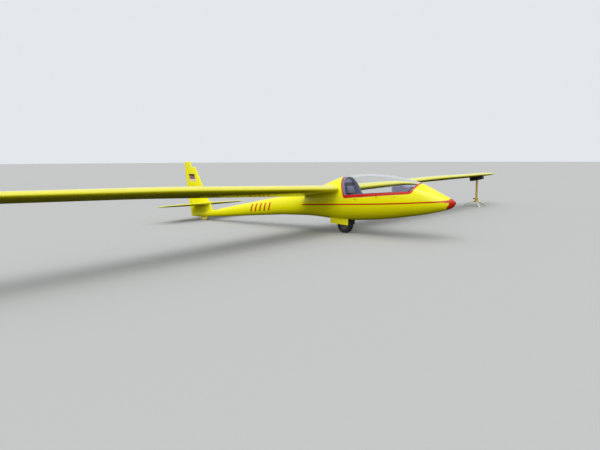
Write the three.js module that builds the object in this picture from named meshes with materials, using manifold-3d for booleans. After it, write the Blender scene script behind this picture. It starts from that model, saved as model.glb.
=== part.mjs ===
// Single-seat sailplane, parked on its main wheel and tail skid, left wing on a padded stand.
// Millimetres. +X towards the nose, +Y towards the left wing tip, +Z up.
// The origin is on the ground under the middle of the length.
import * as THREE from 'three';
import { mergeVertices } from 'three/addons/utils/BufferGeometryUtils.js';
import Module from 'manifold-3d';

const wasm = await Module();
wasm.setup();

// Driving dimensions
const SEAT = 0.3; // gap between pieces that rest on each other
const CLEAR = 5; // gap round a piece that moves
const END_CLEAR = 6; // gap at the ends of an aileron, whose hinge line is a little oblique
const LEAN = -0.012; // radians: the whole aircraft leans on its left wing stand
const LIFT = 0.24; // raises the leaning tyre edge to the ground
const SHIFT_Y = -11.4; // centres the leaning wing tips on the origin
const WALL = 10; // moulded fuselage shell
const FAR = 2000; // reach of a cutting slab

const HALF_SPAN = 7500;
const WING_ROOT_Y = 330;
const WING_LE_X = 1139;
const WING_LE_Z = 794;
const WING_BREAK_Y = 3900;
const INNER_RISE = 0.0289;
const OUTER_RISE = 0.0145;
const ROOT_CHORD = 804;
const CHORD_TAPER = 0.0423; // chord lost for each millimetre of span
const INCIDENCE = 0.2; // radians, nose up to the ground as it sits on its tail
const WING_THICKNESS = 0.178;
const WING_CAMBER = 0.04;

const HOLD_X = 1310; // rear end of the hollow front moulding
const CONE_X = 3040; // rear face of the nose cone
const BOOM_X = -279; // front end of the tail boom
const TAIL_END_X = -2868;

const WHEEL_X = 1110;
const WHEEL_R = 150;

// Fuselage stations: x, top, bottom, half width, height of the widest line
const FUSELAGE = [
  { x: 3160, top: 640, bottom: 612, half: 12, mid: 626 },
  { x: 3142, top: 657, bottom: 578, half: 38, mid: 626 },
  { x: 3100, top: 684, bottom: 542, half: 68, mid: 627 },
  { x: 3034, top: 712, bottom: 512, half: 99, mid: 629 },
  { x: 2920, top: 766, bottom: 481, half: 141, mid: 633 },
  { x: 2750, top: 846, bottom: 439, half: 186, mid: 640 },
  { x: 2592, top: 915, bottom: 405, half: 219, mid: 646 },
  { x: 2400, top: 967, bottom: 373, half: 248, mid: 650 },
  { x: 2150, top: 1016, bottom: 330, half: 273, mid: 648 },
  { x: 1900, top: 1045, bottom: 296, half: 287, mid: 640 },
  { x: 1640, top: 1056, bottom: 266, half: 292, mid: 630 },
  { x: 1400, top: 1046, bottom: 246, half: 290, mid: 618 },
  { x: 1190, top: 1015, bottom: 236, half: 281, mid: 606 },
  { x: 1060, top: 995, bottom: 234, half: 272, mid: 596 },
  { x: 834, top: 917, bottom: 247, half: 256, mid: 570 },
  { x: 604, top: 827, bottom: 261, half: 236, mid: 540 },
  { x: 335, top: 745, bottom: 268, half: 211, mid: 505 },
  { x: 20, top: 664, bottom: 258, half: 187, mid: 462 },
  { x: -279, top: 603, bottom: 247, half: 168, mid: 425 },
  { x: -665, top: 541, bottom: 217, half: 149, mid: 379 },
  { x: -1141, top: 448, bottom: 178, half: 125, mid: 313 },
  { x: -1764, top: 326, bottom: 123, half: 95, mid: 224 },
  { x: -2275, top: 225, bottom: 84, half: 69, mid: 154 },
  { x: -2560, top: 184, bottom: 63, half: 50, mid: 122 },
  { x: TAIL_END_X, top: 142, bottom: 63, half: 20, mid: 100 },
];
const RING_SIDES = 28;
const ROUNDNESS = 0.9; // under 1 squares the section a little

// Fin and rudder in side view
const FIN_BASE_Z = 120;
const FIN_TOP_Z = 1139;
const FIN_THICKNESS = 0.1;
const RUDDER_BASE_Z = 61;
const RUDDER_TIP_Z = 1250;
const HORN_BASE_Z = 1147;
const RUDDER_BOW = 25; // how far the trailing edge bows out at half height
const RUDDER_LEVELS = [RUDDER_BASE_Z, 400, 800, HORN_BASE_Z + 20];

const TAIL_HALF_SPAN = 1130;
const TAIL_ROOT_Y = 86;
const TAIL_THICKNESS = 0.11;
const TORQUE_TUBE_R = 9;

const AILERON = { inner: 3905, outer: 7200, hingeShare: 0.8 };
const ELEVATOR = { inner: 92, outer: 1100 };
const BRAKE = { inner: 1900, outer: 2950, share: 0.55, width: 52, depth: 9 };

const STAND_X = 955;
const STAND_Y = 6614;
const STAND_HUB_Z = 145;
const LEG_REACH = 366;
const LEG_FIRST_ANGLE = 3.227;

// Colours as seen
const COLOURS = {
  yellow: [0xd8d60c, 0.3, 0],
  red: [0xb8180e, 0.35, 0],
  glass: [0xb9c4c0, 0.05, 0],
  trim: [0x3a3d52, 0.8, 0],
  pan: [0xb8b4a0, 0.7, 0],
  black: [0x141414, 0.85, 0],
  rubber: [0x161616, 0.9, 0],
  alloy: [0xa8a9ab, 0.4, 0.8],
  steel: [0x6b6d70, 0.5, 0.8],
  pole: [0xc8a83c, 0.5, 0],
  leg: [0xd8dcc0, 0.5, 0],
};

const aircraft = new THREE.Group();
aircraft.rotation.x = LEAN;
aircraft.position.set(0, SHIFT_Y, LIFT);
const stand = new THREE.Group();

function add(group, name, geometry, colour) {
  const [hex, roughness, metalness] = COLOURS[colour];
  const mesh = new THREE.Mesh(geometry, new THREE.MeshStandardMaterial({ color: hex, roughness, metalness }));
  mesh.name = name;
  group.add(mesh);
}

// Solids

function solid(geometry) {
  const bare = geometry.clone();
  bare.deleteAttribute('normal');
  bare.deleteAttribute('uv');
  const merged = mergeVertices(bare, 1e-4);
  const vertProperties = Float32Array.from(merged.attributes.position.array);
  const triVerts = Uint32Array.from(merged.index.array);
  return new wasm.Manifold(new wasm.Mesh({ numProp: 3, vertProperties, triVerts }));
}

function shell(manifold) {
  const mesh = manifold.getMesh();
  const geometry = new THREE.BufferGeometry();
  geometry.setAttribute('position', new THREE.BufferAttribute(mesh.vertProperties, 3));
  geometry.setIndex(new THREE.BufferAttribute(mesh.triVerts, 1));
  geometry.computeVertexNormals();
  return geometry;
}

// Closed skin over equal rings of points, each end closed by a flat fan.
function loft(rings) {
  const count = rings[0].length;
  const points = rings.flat();
  const faces = [];
  for (let i = 0; i < rings.length - 1; i += 1) {
    for (let j = 0; j < count; j += 1) {
      const a = i * count + j;
      const b = i * count + ((j + 1) % count);
      faces.push(a, b, a + count, b, b + count, a + count);
    }
  }
  [0, rings.length - 1].forEach((end) => {
    const centre = new THREE.Vector3();
    rings[end].forEach((point) => centre.addScaledVector(point, 1 / count));
    points.push(centre);
    for (let j = 0; j < count; j += 1) {
      const a = end * count + j;
      const b = end * count + ((j + 1) % count);
      faces.push(...(end === 0 ? [points.length - 1, b, a] : [points.length - 1, a, b]));
    }
  });
  const geometry = new THREE.BufferGeometry().setFromPoints(points);
  geometry.setIndex(faces);
  return faceOutwards(geometry);
}

function faceOutwards(geometry) {
  const { position } = geometry.attributes;
  const order = geometry.index.array;
  const corners = [new THREE.Vector3(), new THREE.Vector3(), new THREE.Vector3()];
  let volume = 0;
  for (let i = 0; i < order.length; i += 3) {
    corners.forEach((corner, k) => corner.fromBufferAttribute(position, order[i + k]));
    volume += corners[0].dot(corners[1].clone().cross(corners[2]));
  }
  if (volume < 0) {
    for (let i = 0; i < order.length; i += 3) {
      [order[i], order[i + 1]] = [order[i + 1], order[i]];
    }
  }
  geometry.computeVertexNormals();
  return geometry;
}

function box(x0, x1, y0, y1, z0, z1) {
  const geometry = new THREE.BoxGeometry(x1 - x0, y1 - y0, z1 - z0);
  return geometry.translate((x0 + x1) / 2, (y0 + y1) / 2, (z0 + z1) / 2);
}

// Prism of a side-view outline, given as [x, z] corners, between two widths.
function sidePrism(corners, y0, y1) {
  const shape = new THREE.Shape(corners.map(([x, z]) => new THREE.Vector2(x, z)));
  const geometry = new THREE.ExtrudeGeometry(shape, { depth: y1 - y0, bevelEnabled: false });
  return geometry.rotateX(Math.PI / 2).translate(0, y1, 0);
}

function rod(radius, length, sides = 24) {
  return new THREE.CylinderGeometry(radius, radius, length, sides);
}

// Cylinder between two points.
function strut(start, end, radius, sides = 12) {
  const along = end.clone().sub(start);
  const geometry = rod(radius, along.length(), sides);
  const turn = new THREE.Quaternion().setFromUnitVectors(new THREE.Vector3(0, 1, 0), along.normalize());
  return geometry.applyQuaternion(turn).translate(...start.clone().add(end).multiplyScalar(0.5).toArray());
}

// Fuselage

function fuselageRing({ x, top, bottom, half, mid }, inset) {
  return Array.from({ length: RING_SIDES }, (_, i) => {
    const angle = (i / RING_SIDES) * 2 * Math.PI;
    const across = Math.sign(Math.cos(angle)) * Math.abs(Math.cos(angle)) ** ROUNDNESS;
    const up = Math.sign(Math.sin(angle)) * Math.abs(Math.sin(angle)) ** ROUNDNESS;
    const height = up > 0 ? top - mid - inset : mid - bottom - inset;
    return new THREE.Vector3(x, across * (half - inset), mid + up * height);
  });
}

function fuselage(inset, stations = FUSELAGE) {
  return solid(loft(stations.map((station) => fuselageRing(station, inset))));
}

function slab(x0, x1) {
  return solid(box(x0, x1, -FAR, FAR, -FAR, FAR));
}

// Side view of the canopy: sill, slanting front edge and near-upright rear edge, each moved in.
const CANOPY = {
  rearX: 1250,
  rearZ: 633,
  frontX: 2498,
  frontZ: 753,
  apexX: 2592,
  apexZ: 915,
  topX: 1110,
  topZ: 990,
};
const CANOPY_TOP = 1150;
const FRAME_BAND = { sill: [52, 34], front: 24, rear: 24 }; // the sill is given at its rear and front ends
const REAR_FLANGE = 32; // how much wider the frame's rear edge is under the glass
const CORNER_R = [22, 32]; // lower rear and lower front corners
const FRAME_DEPTH = 20;

function crossing(p, u, q, v) {
  const t = ((q[0] - p[0]) * v[1] - (q[1] - p[1]) * v[0]) / (u[0] * v[1] - u[1] * v[0]);
  return [p[0] + t * u[0], p[1] + t * u[1]];
}

function canopyPrism(sillIn, frontIn, rearIn) {
  const [sillRear, sillFront] = [sillIn].flat().length > 1 ? sillIn : [sillIn, sillIn];
  const edge = (x0, z0, x1, z1, inward, inwardEnd = inward) => {
    const length = Math.hypot(x1 - x0, z1 - z0);
    const n = [-(z1 - z0) / length, (x1 - x0) / length];
    const start = [x0 + n[0] * inward, z0 + n[1] * inward];
    const end = [x1 + n[0] * inwardEnd, z1 + n[1] * inwardEnd];
    return { p: start, u: [(end[0] - start[0]) / length, (end[1] - start[1]) / length] };
  };
  const c = CANOPY;
  const rear = edge(c.topX, c.topZ, c.rearX, c.rearZ, rearIn);
  const sill = edge(c.rearX, c.rearZ, c.frontX, c.frontZ, sillRear, sillFront);
  const front = edge(c.frontX, c.frontZ, c.apexX, c.apexZ, frontIn);
  const top = { p: [0, CANOPY_TOP], u: [1, 0] };
  const corners = [rear, sill, front, top].map((line, i, all) => {
    const next = all[(i + 1) % all.length];
    return crossing(line.p, line.u, next.p, next.u);
  });
  const shape = new THREE.Shape();
  const round = (corner, before, after, radius) => {
    const towards = (other) => {
      const length = Math.hypot(other[0] - corner[0], other[1] - corner[1]);
      return corner.map((value, k) => value + ((other[k] - value) * radius) / length);
    };
    shape.lineTo(...towards(before));
    shape.quadraticCurveTo(...corner, ...towards(after));
  };
  shape.moveTo(...corners[3]);
  round(corners[0], corners[3], corners[1], CORNER_R[0]);
  round(corners[1], corners[0], corners[2], CORNER_R[1]);
  shape.lineTo(...corners[2]);
  const geometry = new THREE.ExtrudeGeometry(shape, { depth: 800, bevelEnabled: false, curveSegments: 4 });
  return solid(geometry.rotateX(Math.PI / 2).translate(0, 400, 0));
}

// Side view of the cockpit hollow: the rear wall leans back over the wheel box.
const HOLD = [[1300, 150], [1300, 405], [1168, 660], [1100, 1150], [2960, 1150], [2960, 150]];
const WELL = { x0: 858, x1: 1278, half: 115, top: 372 };

const body = fuselage(0);
const canopyCut = canopyPrism(0, 0, 0);
const hold = fuselage(WALL).intersect(solid(sidePrism(HOLD, -FAR, FAR)));
const well = solid(box(WELL.x0, WELL.x1, -WELL.half, WELL.half, 0, WELL.top));

function noseCone() {
  const tip = fuselage(0).intersect(slab(CONE_X, 4000));
  const intake = new THREE.CylinderGeometry(8, 8, 40, 12).rotateZ(Math.PI / 2).translate(3160, 0, 626);
  return shell(tip.subtract(solid(intake)));
}

function frontMoulding() {
  return shell(body.intersect(slab(HOLD_X, CONE_X - SEAT)).subtract(hold).subtract(canopyCut));
}

function centreMoulding() {
  const middle = body.intersect(slab(BOOM_X, HOLD_X - SEAT)).subtract(hold).subtract(canopyCut);
  const stubs = [-1, 1].map((side) => solid(loft([120, WING_ROOT_Y - SEAT].map((y) => wingRing(side, y)))));
  return shell(middle.add(stubs[0]).add(stubs[1]).subtract(well));
}

// Wings

// Cambered section: share of the chord behind the nose against the height of each skin.
const SKIN_SHARES = [1, 0.9, 0.78, 0.64, 0.5, 0.36, 0.23, 0.13, 0.06, 0.02, 0];
const TRAILING_EDGE = 0.004;

function halfThickness(share, thickness) {
  const t = 5 * thickness;
  const open = t * (0.2969 * Math.sqrt(share) - 0.126 * share - 0.3516 * share ** 2);
  return open + t * (0.2843 * share ** 3 - 0.1036 * share ** 4) + (TRAILING_EDGE / 2) * share;
}

function camberLine(share, camber) {
  const peak = 0.4;
  const scaled = share < peak ? (2 * peak * share - share ** 2) / peak ** 2
    : (1 - 2 * peak + 2 * peak * share - share ** 2) / (1 - peak) ** 2;
  return camber * scaled;
}

// Closed outline from the trailing edge over the top, round the nose and back below: [share, height].
function aerofoil(thickness, camber) {
  const skin = (s, way) => [s, camberLine(s, camber) + way * halfThickness(s, thickness)];
  const upper = SKIN_SHARES.map((s) => skin(s, 1));
  const lower = [...SKIN_SHARES].reverse().slice(1).map((s) => skin(s, -1));
  return [...upper, ...lower];
}

function chordAt(y) {
  return ROOT_CHORD - CHORD_TAPER * (y - WING_ROOT_Y);
}

// Leading-edge height: each wing rises in two straight panels, less steeply outboard.
function wingHeight(y) {
  if (y < WING_ROOT_Y) {
    return WING_LE_Z;
  }
  const inboard = Math.min(y, WING_BREAK_Y) - WING_ROOT_Y;
  const outboard = Math.max(0, y - WING_BREAK_Y);
  return WING_LE_Z + INNER_RISE * inboard + OUTER_RISE * outboard;
}

// Point of the wing at a share of the chord and a height over the chord line, both in chord lengths.
function wingPoint(side, y, share, height, chord = chordAt(y)) {
  const back = share * chord;
  const up = height * chord;
  const x = WING_LE_X - back * Math.cos(INCIDENCE) - up * Math.sin(INCIDENCE);
  const z = wingHeight(y) - back * Math.sin(INCIDENCE) + up * Math.cos(INCIDENCE);
  return new THREE.Vector3(x, side * y, z);
}

function wingRing(side, y, slim = 1) {
  return aerofoil(WING_THICKNESS * slim, WING_CAMBER).map(([s, h]) => wingPoint(side, y, s, h));
}

// Tip cap: the chord draws in and the section thins towards the end.
const WING_STATIONS = [
  { y: WING_ROOT_Y, slim: 1, draw: 0 },
  { y: WING_BREAK_Y, slim: 0.97, draw: 0 },
  { y: 7250, slim: 0.88, draw: 0 },
  { y: 7420, slim: 0.7, draw: 0.02 },
  { y: 7480, slim: 0.45, draw: 0.07 },
  { y: HALF_SPAN, slim: 0.2, draw: 0.15 },
];

function wingSkin(side) {
  return loft(WING_STATIONS.map(({ y, slim, draw }) => {
    const ring = aerofoil(WING_THICKNESS * slim, WING_CAMBER);
    return ring.map(([s, h]) => wingPoint(side, y, draw + s * (1 - 1.6 * draw), h));
  }));
}

// Hinged surface seen end-on: a round nose about its hinge, then both skins to the trailing edge.
const NOSE_STEPS = 8;
const COVE_MARGIN = 1.5; // keeps a faceted cove clear of its faceted nose

function flapSection(hinge, radius, tailPoints, axisUp) {
  const arc = Array.from({ length: NOSE_STEPS + 1 }, (_, i) => {
    const angle = Math.PI / 2 + (i / NOSE_STEPS) * Math.PI;
    return { forward: -Math.cos(angle) * radius, up: Math.sin(angle) * radius };
  });
  const nose = arc.map(({ forward, up }) => axisUp(hinge, forward, up));
  return [...nose, ...tailPoints];
}

// The cove cut for a hinged surface: the same nose, larger, opening up, down and to the rear.
function coveSection(hinge, radius, axisUp) {
  const rear = -900;
  const reach = 300;
  const arc = flapSection(hinge, radius, [], axisUp);
  const open = [[0, -reach], [rear, -reach], [rear, reach], [0, reach]];
  return [...arc, ...open.map(([forward, up]) => axisUp(hinge, forward, up))];
}

// Hinge eye: an arm of the fixed part round a pin that spans a slot in the moving part.
const EYE = { pinR: 2.6, holeR: 3.2, radius: 6, slotR: 8.2, width: 7, sideGap: 3, pinEnd: 6, armHalf: 3 };
const AILERON_EYES = [0.06, 0.5, 0.94]; // shares of the hinge line
const ELEVATOR_EYES = [0.12, 0.6];
const RUDDER_EYES = [0.18, 0.53, 0.91];

// Frame of an eye: x towards the fixed part, y along the hinge line.
function eyeFrame(start, end, share, towards) {
  const along = end.clone().sub(start).normalize();
  const forward = towards.clone().addScaledVector(along, -towards.dot(along)).normalize();
  const frame = new THREE.Matrix4().makeBasis(forward, along, forward.clone().cross(along));
  return frame.setPosition(start.clone().lerp(end, share));
}

function joinEyes(fixed, frames, reach) {
  return frames.reduce((sum, frame) => {
    const half = EYE.width / 2;
    const strip = solid(box(0, reach, -half, half, -EYE.armHalf, EYE.armHalf));
    const arm = solid(rod(EYE.radius, EYE.width)).add(strip);
    const eye = arm.subtract(solid(rod(EYE.holeR, 2 * EYE.width, 16)));
    return sum.add(solid(shell(eye).applyMatrix4(frame)));
  }, fixed);
}

function slotForEyes(moving, frames) {
  return frames.reduce((rest, frame) => {
    const half = EYE.width / 2 + EYE.sideGap;
    const slot = solid(rod(EYE.slotR, 2 * half)).add(solid(box(0, FAR, -half, half, -FAR, FAR)));
    const pin = solid(rod(EYE.pinR, 2 * (half + EYE.pinEnd), 12).applyMatrix4(frame));
    return rest.subtract(solid(shell(slot).applyMatrix4(frame))).add(pin);
  }, moving);
}

function wingAxes(side, y) {
  return (hinge, forward, up) => new THREE.Vector3(
    hinge.x + forward * Math.cos(INCIDENCE) - up * Math.sin(INCIDENCE),
    side * y,
    hinge.z + forward * Math.sin(INCIDENCE) + up * Math.cos(INCIDENCE),
  );
}

function aileronHinge(side, y) {
  const share = AILERON.hingeShare;
  const slim = slimAt(y);
  const radius = halfThickness(share, WING_THICKNESS * slim) * chordAt(y);
  return { hinge: wingPoint(side, y, share, camberLine(share, WING_CAMBER)), radius, slim };
}

function slimAt(y) {
  const i = WING_STATIONS.findIndex((station) => station.y >= y);
  const [a, b] = [WING_STATIONS[i - 1], WING_STATIONS[i]];
  return a.slim + ((b.slim - a.slim) * (y - a.y)) / (b.y - a.y);
}

function aileronEyes(side) {
  const [start, end] = [AILERON.inner, AILERON.outer].map((y) => aileronHinge(side, y).hinge);
  const towards = new THREE.Vector3(Math.cos(INCIDENCE), 0, Math.sin(INCIDENCE));
  return AILERON_EYES.map((share) => eyeFrame(start, end, share, towards));
}

function aileron(side) {
  const flap = solid(loft([AILERON.inner + END_CLEAR, AILERON.outer - END_CLEAR].map((y) => {
    const { hinge, radius, slim } = aileronHinge(side, y);
    const skins = aerofoil(WING_THICKNESS * slim, WING_CAMBER).filter(([s]) => s > AILERON.hingeShare + 0.02);
    const lower = skins.slice(skins.length / 2);
    const upper = skins.slice(0, skins.length / 2);
    const tail = [...lower, ...upper].map(([s, h]) => wingPoint(side, y, s, h));
    return flapSection(hinge, radius, tail, wingAxes(side, y));
  })));
  return shell(slotForEyes(flap, aileronEyes(side)));
}

function aileronCove(side) {
  return solid(loft([AILERON.inner, AILERON.outer].map((y) => {
    const { hinge, radius } = aileronHinge(side, y);
    return coveSection(hinge, radius + CLEAR + COVE_MARGIN, wingAxes(side, y));
  })));
}

// Long narrow box let into the top skin, for an air brake cap.
function brakeBlock(side, sideGap, depth, rise) {
  return loft([BRAKE.inner + sideGap, BRAKE.outer - sideGap].map((y) => {
    const chord = chordAt(y);
    const half = (BRAKE.width / 2 - sideGap) / chord;
    const skin = (s) => camberLine(s, WING_CAMBER) + halfThickness(s, WING_THICKNESS * slimAt(y));
    const [fore, aft] = [BRAKE.share - half, BRAKE.share + half];
    const corner = (s, offset) => wingPoint(side, y, s, skin(s) + offset / chord);
    return [corner(fore, rise), corner(aft, rise), corner(aft, -depth), corner(fore, -depth)];
  }));
}

function wing(side) {
  const slot = solid(brakeBlock(side, 0, BRAKE.depth, 40));
  const cut = solid(wingSkin(side)).subtract(aileronCove(side)).subtract(slot);
  return shell(joinEyes(cut, aileronEyes(side), aileronHinge(side, AILERON.inner).radius + 2 * CLEAR));
}

// Fin and rudder

const lerp = THREE.MathUtils.lerp;

// Leading edge, rudder hinge line and trailing edge of the fin at a height.
function finEdges(z) {
  const rise = (z - 56) / 1194;
  return {
    nose: -2275 - ((z - 225) * 543) / 914,
    hinge: -2875 - ((z - 150) * 115) / 960,
    tail: -2941 - 219 * rise - RUDDER_BOW * 4 * rise * (1 - rise),
  };
}

const FIN_SHARES = [0, 0.03, 0.1, 0.22, 0.38, 0.55, 0.7, 0.85, 1];

function finRing(z, fatten = 0) {
  const { nose, tail } = finEdges(z);
  const chord = nose - tail + 2 * fatten;
  const right = FIN_SHARES.map((s) => [s, halfThickness(s, FIN_THICKNESS) * chord + fatten]);
  const left = [...right].reverse().slice(1).map(([s, half]) => [s, -half]);
  return [...right, ...left].map(([s, half]) => new THREE.Vector3(nose + fatten - s * chord, half, z));
}

function finAxes(z) {
  return (hinge, forward, up) => new THREE.Vector3(hinge.x + forward, up, z);
}

function rudderHinge(z) {
  const { nose, hinge, tail } = finEdges(z);
  const share = (nose - hinge) / (nose - tail);
  const radius = halfThickness(share, FIN_THICKNESS) * (nose - tail);
  return { hinge: new THREE.Vector3(hinge, 0, z), radius, share };
}

function rudderRing(z) {
  const { nose, tail } = finEdges(z);
  const { hinge, radius, share } = rudderHinge(z);
  const chord = nose - tail;
  const middle = lerp(share, 1, 0.5);
  const at = (s, sideways) => {
    return new THREE.Vector3(nose - s * chord, sideways * halfThickness(s, FIN_THICKNESS) * chord, z);
  };
  return flapSection(hinge, radius, [at(middle, -1), at(1, -1), at(1, 1), at(middle, 1)], finAxes(z));
}

// Balance horn over the fin: a slim section from its own leading edge to the trailing edge, with a
// top that slopes down to the rear.
const HORN = { baseX: -2917, tipX: -2984, thickness: 0.11, slope: 32 };

function hornRing(z, drop) {
  const share = (z - HORN_BASE_Z) / (RUDDER_TIP_Z - HORN_BASE_Z);
  const front = lerp(HORN.baseX, HORN.tipX, share);
  const { tail } = finEdges(z);
  const chord = front - tail;
  const right = FIN_SHARES.map((s) => [s, halfThickness(s, HORN.thickness) * chord]);
  const left = [...right].reverse().slice(1).map(([s, half]) => [s, -half]);
  const height = (s) => z + HORN.slope * drop * (0.5 - s);
  return [...right, ...left].map(([s, half]) => new THREE.Vector3(front - s * chord, half, height(s)));
}

function rudderEyes() {
  const [start, end] = [RUDDER_BASE_Z, HORN_BASE_Z].map((z) => rudderHinge(z).hinge);
  return RUDDER_EYES.map((share) => eyeFrame(start, end, share, new THREE.Vector3(1, 0, 0)));
}

function rudder() {
  const blade = slotForEyes(solid(loft(RUDDER_LEVELS.map(rudderRing))), rudderEyes());
  const levels = [[HORN_BASE_Z, 0], [RUDDER_TIP_Z - 6, 0.6], [RUDDER_TIP_Z, 1]];
  const horn = solid(loft(levels.map(([z, drop]) => hornRing(z, drop))));
  return shell(blade.add(horn));
}

function rudderCove() {
  return solid(loft([-50, ...RUDDER_LEVELS, 1400].map((z) => {
    const { hinge, radius } = rudderHinge(z);
    return coveSection(hinge, radius + CLEAR + COVE_MARGIN, finAxes(z));
  })));
}

// Tailplane, low on the fin

function tailEdges(y) {
  const out = (y - TAIL_ROOT_Y) / (TAIL_HALF_SPAN - TAIL_ROOT_Y);
  return { noseX: lerp(-2370, -2490, out), noseZ: 373, chord: lerp(573, 262, out) };
}

// Last sections of the tailplane: place, share of the full depth, share of the chord drawn in at each edge
const TAIL_TIP = [
  { y: 1085, slim: 1, draw: 0 },
  { y: 1117, slim: 0.88, draw: 0.02 },
  { y: TAIL_HALF_SPAN, slim: 0.5, draw: 0.07 },
];
const TAIL_INCIDENCE = 0.145;
const TAIL_HINGE_X = -2700;

function tailPoint(side, y, share, height) {
  const { noseX, noseZ, chord } = tailEdges(y);
  const back = share * chord;
  const up = height * chord;
  const x = noseX - back * Math.cos(TAIL_INCIDENCE) - up * Math.sin(TAIL_INCIDENCE);
  const z = noseZ - (tailHingeDrop(y) + back * Math.sin(TAIL_INCIDENCE)) + up * Math.cos(TAIL_INCIDENCE);
  return new THREE.Vector3(x, side * y, z);
}

// Keeps the elevator hinge line level along the span.
function tailHingeDrop(y) {
  const root = (tailEdges(TAIL_ROOT_Y).noseX - TAIL_HINGE_X) * Math.tan(TAIL_INCIDENCE);
  const here = (tailEdges(y).noseX - TAIL_HINGE_X) * Math.tan(TAIL_INCIDENCE);
  return root - here;
}

function tailHinge(side, y) {
  const { noseX, chord } = tailEdges(y);
  const share = (noseX - TAIL_HINGE_X) / (chord * Math.cos(TAIL_INCIDENCE));
  return { hinge: tailPoint(side, y, share, 0), radius: halfThickness(share, TAIL_THICKNESS) * chord, share };
}

function tailAxes(side, y) {
  return (hinge, forward, up) => new THREE.Vector3(
    hinge.x + forward * Math.cos(TAIL_INCIDENCE) - up * Math.sin(TAIL_INCIDENCE),
    side * y,
    hinge.z + forward * Math.sin(TAIL_INCIDENCE) + up * Math.cos(TAIL_INCIDENCE),
  );
}

function tailRing(side, y, slim = 1, draw = 0) {
  return aerofoil(TAIL_THICKNESS * slim, 0).map(([s, h]) => tailPoint(side, y, draw + s * (1 - 2 * draw), h));
}

function elevatorEyes(side) {
  const [start, end] = [ELEVATOR.inner, ELEVATOR.outer].map((y) => tailHinge(side, y).hinge);
  const towards = new THREE.Vector3(Math.cos(TAIL_INCIDENCE), 0, Math.sin(TAIL_INCIDENCE));
  return ELEVATOR_EYES.map((share) => eyeFrame(start, end, share, towards));
}

function tailplane(side) {
  const cove = solid(loft([TAIL_ROOT_Y - 20, ELEVATOR.outer].map((y) => {
    const { hinge, radius } = tailHinge(side, y);
    return coveSection(hinge, radius + CLEAR + COVE_MARGIN, tailAxes(side, y));
  })));
  const rings = [tailRing(side, TAIL_ROOT_Y), ...TAIL_TIP.map((t) => tailRing(side, t.y, t.slim, t.draw))];
  const reach = tailHinge(side, TAIL_ROOT_Y).radius + 2 * CLEAR;
  return shell(joinEyes(solid(loft(rings)).subtract(cove), elevatorEyes(side), reach));
}

function elevator(side) {
  const flap = solid(loft([ELEVATOR.inner, ELEVATOR.outer - CLEAR].map((y) => {
    const { hinge, radius, share } = tailHinge(side, y);
    const skins = [lerp(share, 1, 0.4), 1];
    const lower = skins.map((s) => tailPoint(side, y, s, -halfThickness(s, TAIL_THICKNESS)));
    const upper = [...skins].reverse().map((s) => tailPoint(side, y, s, halfThickness(s, TAIL_THICKNESS)));
    return flapSection(hinge, radius, [...lower, ...upper], tailAxes(side, y));
  })));
  return shell(slotForEyes(flap, elevatorEyes(side)));
}

// Moulded saddle on each side of the fin that the tailplane butts against.
function saddle(side) {
  const ring = (y) => aerofoil(0.15, 0).map(([s, h]) => {
    const point = tailPoint(side, TAIL_ROOT_Y, s * 0.86 - 0.02, h);
    return point.setY(side * y);
  });
  return solid(loft([2, TAIL_ROOT_Y - SEAT].map(ring)));
}

function torqueTube(radius, halfLength) {
  const { hinge } = tailHinge(1, TAIL_ROOT_Y);
  return rod(radius, 2 * halfLength, 16).translate(hinge.x, 0, hinge.z);
}

function fin() {
  const upright = solid(loft([FIN_BASE_Z, 500, 1100, FIN_TOP_Z].map((z, i) => finRing(z, i === 3 ? -3 : 0))));
  const { hinge, radius } = tailHinge(1, TAIL_ROOT_Y);
  const tubeRun = solid(rod(radius + CLEAR, 400, 16).translate(hinge.x, 0, hinge.z));
  const seat = fuselage(SEAT * -1.5, FUSELAGE.slice(18));
  const open = upright.add(saddle(-1)).add(saddle(1)).subtract(seat).subtract(rudderCove());
  return shell(joinEyes(open.subtract(tubeRun), rudderEyes(), rudderHinge(HORN_BASE_Z).radius + 2 * CLEAR));
}

function boomTail() {
  return shell(body.intersect(slab(TAIL_END_X, BOOM_X - SEAT)).subtract(rudderCove()));
}

// Landing gear

const AXLE_R = 12;
// Left halves of the turned sections, as [radius, distance from the middle]
const TYRE_HALF = [[150, 20], [144, 40], [128, 50], [104, 48], [76, 34]];
const HUB_HALF = [[75.6, 33], [62, 33], [58, 10], [28, 12], [26, 36], [13, 36]];
const WHEEL_SIDES = 40;

function turned(half, sides) {
  const section = [...[...half].reverse().map(([r, y]) => [r, -y]), ...half];
  const points = [...section, section[0]].map(([r, y]) => new THREE.Vector2(r, y));
  return new THREE.LatheGeometry(points, sides);
}

function atAxle(geometry) {
  return geometry.translate(WHEEL_X, 0, WHEEL_R);
}

const FORK = { inner: 58, outer: 66, base: 128, foot: 26, head: 60 };

function gearFork() {
  const { inner, outer } = FORK;
  const top = WELL.top - SEAT;
  const narrow = [[WHEEL_X - FORK.foot, FORK.base], [WHEEL_X + FORK.foot, FORK.base]];
  const cheek = [...narrow, [WHEEL_X + FORK.head, top], [WHEEL_X - FORK.head, top]];
  const right = solid(sidePrism(cheek, -outer, -inner));
  const left = solid(sidePrism(cheek, inner, outer));
  const bridge = solid(box(WHEEL_X - 58, WHEEL_X + 58, -outer, outer, WELL.top - 22, WELL.top - SEAT));
  return shell(right.add(left).add(bridge).subtract(solid(atAxle(rod(AXLE_R + SEAT, 300)))));
}

function gearDoor(side) {
  const corners = [[862, 292], [862, 178], [880, 172], [1238, 147], [1240, 292]];
  const outer = WELL.half - 0.5;
  const inner = outer - 5;
  const [y0, y1] = side < 0 ? [-outer, -inner] : [inner, outer];
  return sidePrism(corners, y0, y1);
}

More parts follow.
